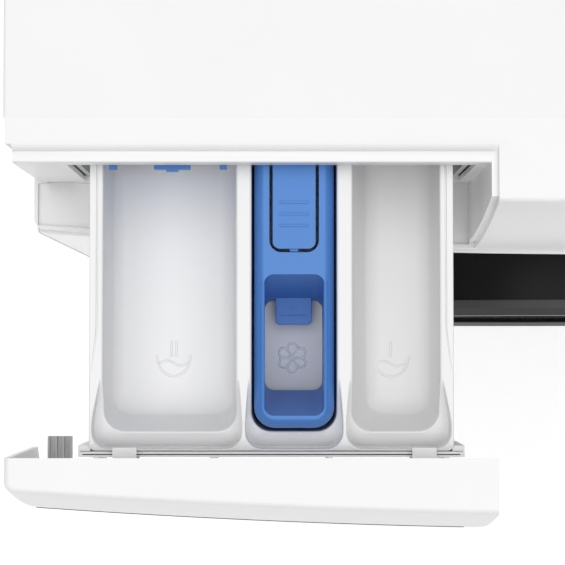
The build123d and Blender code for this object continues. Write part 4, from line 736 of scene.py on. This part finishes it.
# %% Raised lines
def raised(name, paths, radius, slot, body):
    """Round lines along paths of points, made into one mesh."""
    lines = bpy.data.curves.new(name, "CURVE")
    lines.dimensions = "3D"
    lines.bevel_depth = radius * MM
    lines.bevel_resolution = 2
    lines.use_fill_caps = True
    for points in paths:
        closed = (Vector(points[0]) - Vector(points[-1])).length < 1e-7
        points = points[:-1] if closed else points
        spline = lines.splines.new("POLY")
        spline.use_cyclic_u = closed
        spline.points.add(len(points) - 1)
        for at, point in zip(spline.points, points):
            at.co = (*point, 1)
    holder = link(name + "_lines", lines)
    mesh = plain(holder)
    bpy.data.objects.remove(holder)
    mesh.shade_smooth()
    return fit(link(name, mesh), slot, body)


# %% The level tab
TAB_HALF = 8.6
TAB_FRONT = INSERT_FRONT + 46.8
TAB = (INSERT_X - TAB_HALF, INSERT_X + TAB_HALF, TAB_FRONT, INSERT_FRONT + 59.9)
TAB_TOP = INSERT_LOW + 4
TAB_ROUNDS = (1.9, 0.7)
plate = bmesh.new()
stack = []
for inset, z in ((0.3, -2.0), (0, -1.7), (0, -0.4), (0.12, -0.12), (0.4, 0)):
    stack.append(lay(plate, set_in(TAB, inset, TAB_ROUNDS), TAB_TOP + z))
close(plate, stack)
fit(shade(piece_from("level_tab", plate), sharp=50), "insert_blue", "drawer")
LEVEL_LINE = ((-6.2, 4.4), (6.2, 4.4))
ARROW = ((-1.9, 8.4), (0, 5.6), (1.9, 8.4), (-1.9, 8.4))
MARK_SUNK = 0.1
marks = [[place(INSERT_X + x, TAB_FRONT + d, TAB_TOP - MARK_SUNK) for x, d in path]
         for path in (LEVEL_LINE, ARROW)]
raised("level_mark", marks, radius=0.35, slot="insert_blue", body="drawer")
print("level tab", round(2 * TAB_HALF, 1), "wide")

# %% The signs on the cups' floors
SIGN_LINE = 0.62
SIGN_LIFT = 0.05
WATER = 0.84
WATER_LEVEL = 3.6
WAVE = 1.2
BAR = (-0.6, 7)
PETAL_FAR = 4.6
PETAL_ROUND = PETAL_FAR * sin(radians(30))
PETAL_SIDE = PETAL_FAR * cos(radians(30))


def basin(x, front, back, half, bars):
    """Sign of a wash bowl with a wave in it, and bars above it."""
    bowl = [(x - half * cos(radians(a)), back - (back - front) * sin(radians(a))) for a in range(0, 181, 9)]
    wave = [(x + WATER * half * (t / 12 - 1), back - WATER_LEVEL + WAVE * sin(t / 12 * pi))
            for t in range(25)]
    return [bowl, wave] + [[(bar, back + end) for end in BAR] for bar in bars]


def flower(x, depth):
    """Sign of a flower: six spokes, and a round lobe from each spoke to the next."""
    spoke = [(0, 0), (PETAL_SIDE * cos(radians(30)), PETAL_SIDE * sin(radians(30)))]
    lobe = [(PETAL_FAR + PETAL_ROUND * cos(radians(a)), PETAL_ROUND * sin(radians(a)))
            for a in range(-120, 121, 10)]
    paths = []
    for turn in [radians(angle) for angle in range(30, 390, 60)]:
        for path in (spoke, lobe):
            paths.append([(x + u * cos(turn) - v * sin(turn), depth + u * sin(turn) + v * cos(turn))
                          for u, v in path])
    return paths


signs = basin(x=-226.5, front=66.9, back=76.8, half=8.1, bars=(-227.6, -225.2))
signs += basin(x=-121.7, front=66.6, back=76.5, half=8.3, bars=(-121.9,))
signs += flower(x=-169.4, depth=75.8)
on_floor = [[place(x, d, FLOOR + SIGN_LIFT) for x, d in path] for path in signs]
raised("cup_signs", on_floor, radius=SIGN_LINE, slot="tray_white", body="drawer")
print("lines of the signs", len(signs))

# %% [markdown]
# The small mouldings of the drawer are the tongue, the flap, the clips and the guide. Their solids have the
# right shapes with razor edges, which no moulding has. They could be built again with rounded loops. A
# Bevel modifier on the long sharp edges is enough here, with a width for each piece.

# %% Dress the small mouldings
NECK = 2.6
NECK_LENGTH = 1.5
NECK_DROP = 0.9
tongue = solid_copy("release_tongue")
neck_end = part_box("release_tongue")[0].y + NECK_LENGTH * MM
for corner in tongue.verts:
    if corner.co.y < neck_end and abs(corner.co.x - INSERT_X * MM) < NECK * MM:
        corner.co.z -= NECK_DROP * MM
dress("release_tongue", round_mm=0.2, shape=tongue)
for solid, soft in (("liquid_flap", 0.9), ("front_clips", 0.4), ("guide_tongue", 0.25)):
    dress(solid, round_mm=soft)
print("small mouldings dressed")

# %% [markdown]
# The drawer's front is a hollow shell with a plate behind it that carries the tray. The solids are right,
# and only hair lines are missing that the eye sees from above: a slit along the plate, and a crease at the
# foot of the recess's chamfer. A dark line in the material would do from one side only, so a Boolean
# modifier cuts each line with a thin bar.

# %% Cut the slits of the drawer's front and the fascia
def cut_copy(solid, sharp, low, high):
    """Copy of a solid with a slit cut in it, from a low to a high corner."""
    piece = piece_from(solid + "_dressed", solid_copy(solid))
    return settle(shade(slit(piece, low, high), sharp), solid)


SLIT = 0.5
PLATE_SLIT = TRAY_FRONT - 1.9
SLIT_DEEP = 16
SLIT_PAST = 3
drawer_face = cut_copy("drawer_front", sharp=SHARP_ANGLE,
                       low=place(TRAY_LEFT - SLIT_PAST, PLATE_SLIT, RIM - SLIT_DEEP),
                       high=place(TRAY_RIGHT + SLIT_PAST, PLATE_SLIT + SLIT, RIM))
CREASE = 29.3 + TRAVEL / MM
CREASE_WIDE = 0.4
CREASE_LEVEL = WORKTOP_TOP / MM - 3.2
CREASE_DEEP = 0.4
CREASE_ENDS = (TRAY_LEFT - 33, TRAY_RIGHT + 15.8)
fascia_face = cut_copy("control_fascia", sharp=50,
                       low=place(CREASE_ENDS[0], CREASE, CREASE_LEVEL - CREASE_DEEP),
                       high=place(CREASE_ENDS[1], CREASE + CREASE_WIDE, CREASE_LEVEL + 1))
print("drawer front and fascia")

# %% [markdown]
# Marks on the front: a dark line of painted shadow in the groove low on the drawer, the ticks round the
# program knob, the figures in the display and the sign on the start button. The front has a gentle crown,
# so marks on a flat plane would float or sink. They could be shrink-wrapped, but a line has few points:
# each is found by a ray that runs straight back until it meets the face, so a mark always lies on what
# carries it.

# %% Helper that lays points on a face
def on_face(face, points):
    """Points where rays from the front meet a piece, from (x, z) in millimetres."""
    bpy.context.view_layer.update()
    found = []
    for x, z in points:
        hit, spot = face.ray_cast(Vector((x * MM, DEPTH_ZERO - 1, z * MM)), Vector((0, 1, 0)))[:2]
        if hit:
            found.append(spot)
    return found


# %% The painted shadow in the drawer's groove
front_low, front_high = [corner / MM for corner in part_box("drawer_front")]
GROOVE_SHADOW_HEIGHT = 27
GROOVE_SHADOW_ENDS = (front_low.x + 4.7, front_high.x - 8.2)
groove_shadow = on_face(drawer_face, [(lerp(*GROOVE_SHADOW_ENDS, step / 40), front_low.z + GROOVE_SHADOW_HEIGHT) for step in range(41)])
# A dark round line of painted shadow, laid along the drawer's front where its groove holds only shade.
raised("drawer_groove_shadow", [groove_shadow], radius=0.36, slot="dark_plastic", body="drawer")
print("seam points", len(groove_shadow))

# %% The ticks round the knob
knob_x, _, knob_z = [v / MM for v in ways["knob_turn"]["pos_m"]]
TICKS = 16
TICK_NEAR = 28.5
TICK_FAR = 32
LONG_TICK_FAR = 34
ticks = []
for step in range(TICKS):
    a = radians(90 + 360 / TICKS * step)
    reach = (TICK_NEAR, TICK_FAR if step % 4 else LONG_TICK_FAR)
    ticks.append(on_face(fascia_face, [(knob_x + r * cos(a), knob_z + r * sin(a)) for r in reach]))
raised("knob_ticks", ticks, radius=0.45, slot="housing_grey", body="cabinet")
print("ticks", len(ticks))

# %% The figures in the display
window = dress("display_window")
DIGIT = (8.0, 8.5)
TRIM = 0.12
SEGMENTS = {"a": (0, 1, 1, 1), "b": (1, 0, 1, 1), "c": (1, -1, 1, 0), "d": (0, -1, 1, -1), "e": (0, -1, 0, 0),
            "f": (0, 0, 0, 1), "g": (0, 0, 1, 0)}
DIGITS = ((116, "bc"), (136, "abcdg"), (151, "abcdef"))
COLON = 130
BARS_LEFT = 180
BARS = ((8, 26), (0, 18), (-8, 10))
strokes = []
for x, letters in DIGITS:
    for ax, az, bx, bz in [SEGMENTS[letter] for letter in letters]:
        strokes.append([(x + DIGIT[0] * lerp(ax, bx, t), DIGIT[1] * lerp(az, bz, t))
                        for t in (TRIM, 0.5, 1 - TRIM)])
strokes += [[(COLON + u, level) for u in (-0.6, 0.6)] for level in (-4, 4)]
strokes += [[(BARS_LEFT + reach * t / 4, level) for t in range(5)] for level, reach in BARS]
figures = [on_face(window, [(x, knob_z + level) for x, level in stroke]) for stroke in strokes]
raised("display_figures", figures, radius=0.5, slot="fascia_white", body="cabinet")
print("strokes", len(figures))

# %% The sign on the start button
button = dress("start_button")
button_low, button_high = [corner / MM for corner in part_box("start_button")]
middle = (button_low + button_high) / 2
START_ARROW = ((-2.2, 3.2), (-2.2, 0), (-2.2, -3.2), (0.6, -1.6), (3.4, 0), (0.6, 1.6), (-2.2, 3.2))
sign = on_face(button, [(middle.x + u, middle.z + v) for u, v in START_ARROW])
raised("start_sign", [sign], radius=0.35, slot="dark_plastic", body="start_button")
print("start sign", len(sign))

# %% [markdown]
# Shapes that repeat: coils, ribs, holes, screws, plugs and vents. They could be copied in a loop, which
# fills the file with objects. Geometry Nodes do it in one piece: a tree takes a set of points, puts one
# small shape on each, makes the copies real and gives them a finish. Its sizes are named inputs, set before
# the tree first runs. The result is then kept as plain mesh.

# %% Helper that builds a repeating tree
def repeat_tree(name, labels, shape, slot, turn=None, tilt=(0, 0, 0)):
    """Tree that puts a shape on every point. shape and turn add nodes, and return the socket they end in."""
    tree = bpy.data.node_groups.new(name, "GeometryNodeTree")
    tree.interface.new_socket("Geometry", in_out="INPUT", socket_type="NodeSocketGeometry")
    for label in labels:
        tree.interface.new_socket(label, in_out="INPUT", socket_type="NodeSocketFloat")
    tree.interface.new_socket("Geometry", in_out="OUTPUT", socket_type="NodeSocketGeometry")
    start = node(tree, "NodeGroupInput")
    spread = node(tree, "GeometryNodeInstanceOnPoints", Rotation=[radians(angle) for angle in tilt])
    wire(start, "Geometry", spread, "Points")
    tree.links.new(shape(tree, start), spread.inputs["Instance"])
    if turn:
        tree.links.new(turn(tree), spread.inputs["Rotation"])
    real = node(tree, "GeometryNodeRealizeInstances")
    wire(spread, "Instances", real, "Geometry")
    coat = node(tree, "GeometryNodeSetMaterial", Material=FINISHES[slot])
    wire(real, "Geometry", coat, "Geometry")
    wire(coat, "Geometry", node(tree, "NodeGroupOutput"), "Geometry")
    return tree


def grow(name, tree, points, sizes):
    """Plain mesh that a tree makes on a set of points."""
    mesh = bpy.data.meshes.new(name + "_points")
    mesh.from_pydata([tuple(point) for point in points], [], [])
    piece = link(name, mesh)
    step = piece.modifiers.new("grow", "NODES")
    step.node_group = tree
    for item in tree.interface.items_tree:
        if item.in_out == "INPUT" and item.name in sizes:
            step[item.identifier] = sizes[item.name]
    return shade(applied(piece), sharp=40)


def sow(name, slot, body, points, shape, sizes, turn=None, tilt=(0, 0, 0)):
    """Piece with one small shape on every point. Its sizes are named, in millimetres."""
    tree = repeat_tree(name, sizes, shape, slot, turn, tilt)
    return fit(grow(name, tree, points, {label: size * MM for label, size in sizes.items()}), slot, body)


# %% Small shapes for the trees
def pegs(*prisms):
    """Shape of prisms on one axis, each from its number of sides and the names of its radius and height."""
    def shape(tree, start):
        whole = node(tree, "GeometryNodeJoinGeometry")
        for sides, radius, height in prisms:
            prism = node(tree, "GeometryNodeMeshCylinder", Vertices=sides)
            wire(start, radius, prism, "Radius")
            wire(start, height, prism, "Depth")
            wire(prism, "Mesh", whole, "Geometry")
        return whole.outputs["Geometry"]
    return shape


def coil(tree, start):
    """Spring: a spiral with a round wire."""
    spiral = node(tree, "GeometryNodeCurveSpiral", Resolution=20)
    section = node(tree, "GeometryNodeCurvePrimitiveCircle", Resolution=8)
    sweep = node(tree, "GeometryNodeCurveToMesh", Fill_Caps=True)
    for size, socket in (("Turns", "Rotations"), ("Radius", "Start Radius"), ("Radius", "End Radius"),
                         ("Height", "Height")):
        wire(start, size, spiral, socket)
    wire(start, "Wire", section, "Radius")
    wire(spiral, "Curve", sweep, "Curve")
    wire(section, "Curve", sweep, "Profile Curve")
    return sweep.outputs["Mesh"]


def outwards(tree):
    """Turn that points a shape away from the drum's axis."""
    flat = node(tree, "ShaderNodeVectorMath")
    flat.operation = "MULTIPLY_ADD"
    flat.inputs[1].default_value = (1, 0, 1)
    flat.inputs[2].default_value = (0, 0, -AXIS)
    wire(node(tree, "GeometryNodeInputPosition"), "Position", flat, 0)
    lean = node(tree, "FunctionNodeAlignRotationToVector")
    lean.axis = "Z"
    wire(flat, "Vector", lean, "Vector")
    return lean.outputs["Rotation"]


# %% [markdown]
# Soft pieces join the floating tub to the cabinet: two springs, two bellows and the door gasket. As rigid
# pieces they would slide through what holds them when the tub moves. Here each gets its finish and stays
# in its place, with its solid hidden. The springs are sleeves in the solids, and become real coils: a
# spiral with a round wire, on one point for each spring.

# %% Helper for the soft pieces
def stretch(piece, solid, fixed, riding):
    """Let a piece stand for a soft solid between the cabinet and the tub, with its finish, in a fixed place.
    """
    paint(piece, SLOT_OF[solid])
    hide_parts(solid)
    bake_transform(piece)
    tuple(fixed)
    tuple(riding)
    made.add(solid)


# %% Springs
spring_low, spring_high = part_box("suspension_springs")
SPRING_WIRE = 2.0
TURNS = 26.0
SPRING_OUTER = (spring_high.y - spring_low.y) / 2 / MM
spring_tree = repeat_tree("coil_springs", ("Turns", "Radius", "Height", "Wire"), coil, "bright_steel")
spring_x = spring_high.x - SPRING_OUTER * MM
spring_y = (spring_low.y + spring_high.y) / 2
hooks = [Vector((side * spring_x, spring_y, spring_low.z + SPRING_WIRE * MM)) for side in (-1, 1)]
springs = grow("springs", spring_tree, hooks,
               {"Turns": TURNS, "Radius": (SPRING_OUTER - SPRING_WIRE) * MM,
                "Height": spring_high.z - spring_low.z - 2 * SPRING_WIRE * MM, "Wire": SPRING_WIRE * MM})
stretch(springs, "suspension_springs", (0, spring_y, spring_high.z), (0, spring_y, spring_low.z))
print("springs, faces", len(springs.data.polygons))

# %% Bellows and gasket
for solid, up in (("fill_bellows", True), ("sump_bellows", False)):
    low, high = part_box(solid)
    ends = [Vector((low.x, low.y, z)) for z in (high.z, low.z)]
    stretch(shaded_copy(solid), solid, *(ends if up else reversed(ends)))
GASKET_ENDS = (6, 8)
low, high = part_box("door_gasket")
stretch(shaded_copy("door_gasket"), "door_gasket", (0, low.y + GASKET_ENDS[0] * MM, AXIS),
        (0, high.y - GASKET_ENDS[1] * MM, AXIS))
print("bellows and gasket")

# %% [markdown]
# The program knob is turned by its rim, which has fine ribs for the fingers. They could be cut into the
# solid one by one. Instead a tree sets a small hexagonal bar on every point of a circle about the knob's
# axis, each bar half sunk into the rim, which takes one tree and two sizes.

# %% Grip of the knob
KNOB_ROUND = 24
GRIPS = 44
GRIP_RISE = 8.5
spindle = Vector(ways["knob_turn"]["axis"]).normalized()
spindle = spindle if spindle.y < 0 else -spindle
beside = Vector((1, 0, 0))
above = spindle.cross(beside)
heart = Vector(ways["knob_turn"]["pos_m"]) + spindle * GRIP_RISE * MM
grips = [heart + (beside * cos(2 * pi * i / GRIPS) + above * sin(2 * pi * i / GRIPS)) * KNOB_ROUND * MM
         for i in range(GRIPS)]
sow("knob_grips", "knob_silver", "program_knob", grips, pegs((6, "Radius", "Length")),
    {"Radius": 0.7, "Length": 11}, tilt=(90 - degrees(asin(spindle.z)), 0, 0))
print("grips", GRIPS)

# %% [markdown]
# The drum's wall is pierced all round, so that water runs through it. A thousand Boolean cuts would be slow
# and heavy. Each hole is shown by a small dark disc that lies in the wall, with its axis turned away from
# the drum's: painted shade for the dark that one sees through a hole.

# %% Holes of the drum
drum_low, drum_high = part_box("drum_basket")
DRUM_WALL = 1.2
DRUM_MARGIN = 0.02
HOLE_RING_RADIUS = (drum_high.z - drum_low.z) / 2 - DRUM_WALL * MM
ROWS = 18
COLUMNS = 60
holes = []
for row in range(ROWS):
    y = lerp(drum_low.y + DRUM_MARGIN, drum_high.y - DRUM_MARGIN, row / (ROWS - 1))
    for column in range(COLUMNS):
        a = 2 * pi * (column + row % 2 / 2) / COLUMNS
        holes.append(Vector((HOLE_RING_RADIUS * cos(a), y, AXIS + HOLE_RING_RADIUS * sin(a))))
# Each dark disc is painted shade: the dark that a hole through the wall shows.
sow("drum_hole_shade", "dark_plastic", "drum", holes, pegs((8, "Radius", "Height")),
    {"Radius": 2.4, "Height": 0.6}, turn=outwards)
print("holes", len(holes))

# %% [markdown]
# The back of the machine has a pressed access cover, hexagonal screws with a flange, four plugs in the
# holes of the transit bolts, and a row of vents. The side panels have a bead pressed into them, which
# stiffens the sheet. Such relief could come from a bump in the finish, but it has to show at the outline.
# So the cover is a stack of loops, the beads are round lines half sunk into the sheet, and trees place the
# small parts.

# %% Helper that lays points on the back
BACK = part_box("rear_panel")[1].y
FACING_BACK = (-90, 0, 0)


def on_back(spots, out=0.0):
    """Points on the back, from (x, z) in millimetres, raised by a distance."""
    return [Vector((x * MM, BACK + out * MM, z * MM)) for x, z in spots]


# %% The access cover
COVER = (-165, 165, 190, 612)
COVER_ROUNDS = (24, 24)
PRESSED = 1.6
cover = bmesh.new()
stack = []
for inset, out in ((0, -0.3), (0, 0.5), (0.35, 1.2), (1.2, PRESSED), (9, PRESSED), (11, 0.9), (13, 0.7)):
    stack.append([cover.verts.new(spot) for spot in on_back(set_in(COVER, inset, COVER_ROUNDS), out)])
close(cover, stack)
bmesh.ops.recalc_face_normals(cover, faces=cover.faces)
fit(shade(piece_from("access_cover", cover), sharp=60), "galvanised", "cabinet")
print("access cover", COVER)

# %% Screws of the back
panel_low, panel_high = [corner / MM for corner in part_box("rear_panel")]
COVER_EDGE = 5.5
SIDE_EDGE = 8
END_EDGE = 9
cover_spots = [*product((COVER[0] + COVER_EDGE, COVER[1] - COVER_EDGE), (260, 400, 540)),
               *product((-80, 80), (COVER[2] + COVER_EDGE, COVER[3] - COVER_EDGE))]
panel_spots = [*product((panel_low.x + SIDE_EDGE, panel_high.x - SIDE_EDGE), (40, 180, 330, 480, 630, 790)),
               *product((-180, -60, 60, 180), (panel_low.z + END_EDGE, panel_high.z - END_EDGE))]
screw_points = on_back(cover_spots, PRESSED) + on_back(panel_spots)
sow("rear_screws", "bright_steel", "cabinet", screw_points,
    pegs((6, "Head", "Height"), (16, "Flange", "Thickness")),
    {"Head": 3.6, "Height": 6, "Flange": 5, "Thickness": 2}, tilt=FACING_BACK)
print("screws", len(screw_points))

# %% Plugs and vents of the back
plug_points = on_back(product((-228, 228), (215, 665)))
sow("transit_plugs", "dark_plastic", "cabinet", plug_points,
    pegs((40, "Rim", "Thickness"), (32, "Boss", "Height")),
    {"Rim": 19, "Thickness": 4, "Boss": 13, "Height": 7}, tilt=FACING_BACK)
VENTS = 8
VENT_X = 105
LOWEST_VENT = 78
VENT_STEP = 11
vent_points = on_back((VENT_X, LOWEST_VENT + VENT_STEP * row) for row in range(VENTS))
sow("rear_vents", "galvanised", "cabinet", vent_points, pegs((20, "Round", "Length")),
    {"Round": 2.6, "Length": 86}, tilt=(0, 90, 0))
print("plugs", len(plug_points), "vents", len(vent_points))

# %% Beads of the side panels
BEAD_RADIUS = 3.6
BEAD_SUNK = 2.6
BEAD_FIELD = (70, 470, 110, 715)
BEAD_CORNER = 40
bead_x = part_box("side_panel_right")[1].x - BEAD_SUNK * MM
outline = loop(*BEAD_FIELD, BEAD_CORNER, BEAD_CORNER)
for side, name in ((-1, "left"), (1, "right")):
    path = [Vector((side * bead_x, DEPTH_ZERO + d * MM, z * MM)) for d, z in outline + outline[:1]]
    raised(f"side_bead_{name}", [path], radius=BEAD_RADIUS, slot="panel_white", body="cabinet")
print("side beads")

# %% Dress the solids that keep their shape
for solid in nodes:
    if solid not in made:
        dress(solid)
print("dressed", len(made))

# %% [markdown]
# The stage: a pale floor, a wide soft light overhead, and a camera that looks down on the drawer. An even
# sky would light all faces alike and flatten the white machine. So the sky is brighter overhead than at the
# horizon, as in a studio with a lit ceiling, and upright faces are a little darker.

# %% Floor
SPAN = 60.0
FLOOR_GLOW = 0.3
corners = [(SPAN * u, SPAN * v, 0) for u, v in ((-1, -1), (1, -1), (1, 1), (-1, 1))]
floor_mesh = bpy.data.meshes.new("floor")
floor_mesh.from_pydata(corners, [], [(0, 1, 2, 3)])
floor = link("floor", floor_mesh)
pale = finish("floor_pale", (0.93, 0.93, 0.93), 0.6, grain=(60, 0.01), drift=0.004)
put(pale.node_tree.nodes["Principled BSDF"], Emission_Color=(1, 1, 1, 1), Emission_Strength=FLOOR_GLOW)
floor_mesh.materials.append(pale)
print("floor", SPAN, "metres to each side")

# %% Light
LAMP_SPOT = Vector((-0.1, -0.2, 3.4))
LAMP_AIM = Vector((-0.1, 0, 0.8))
LAMP_SIZE = 3.0
LAMP_POWER = 40
lamp = bpy.data.lights.new("overhead", "AREA")
lamp.size = LAMP_SIZE
lamp.energy = LAMP_POWER
overhead = link("overhead", lamp)
overhead.location = LAMP_SPOT
overhead.rotation_euler = (LAMP_AIM - LAMP_SPOT).to_track_quat("-Z", "Y").to_euler()
SKY_AT_HORIZON = 0.12
SKY_OVERHEAD = 0.9
world = bpy.data.worlds.new("studio")
world.use_nodes = True
sky = put(world.node_tree.nodes["Background"], Color=(1, 1, 1, 1))
axes = node(world.node_tree, "ShaderNodeSeparateXYZ")
rise = node(world.node_tree, "ShaderNodeMapRange", To_Min=SKY_AT_HORIZON, To_Max=SKY_OVERHEAD)
wire(node(world.node_tree, "ShaderNodeTexCoord"), "Generated", axes, "Vector")
wire(axes, "Z", rise, "Value")
wire(rise, "Result", sky, "Strength")
scene.world = world
scene.view_settings.view_transform = "Standard"
print("lit")

# %% Camera
CAMERA_X = -0.1741
CAMERA_BACK = -0.0595
CAMERA_ABOVE = 0.791
CAMERA_TILT = 2.172
CAMERA_LENS = 113.4
SENSOR_WIDTH = 36
view = bpy.data.cameras.new("camera")
view.lens = CAMERA_LENS
view.sensor_width = SENSOR_WIDTH
camera = link("camera", view)
camera.location = (CAMERA_X, DEPTH_ZERO + CAMERA_BACK, WORKTOP_TOP + CAMERA_ABOVE)
camera.rotation_euler = (radians(CAMERA_TILT), 0, 0)
scene.camera = camera
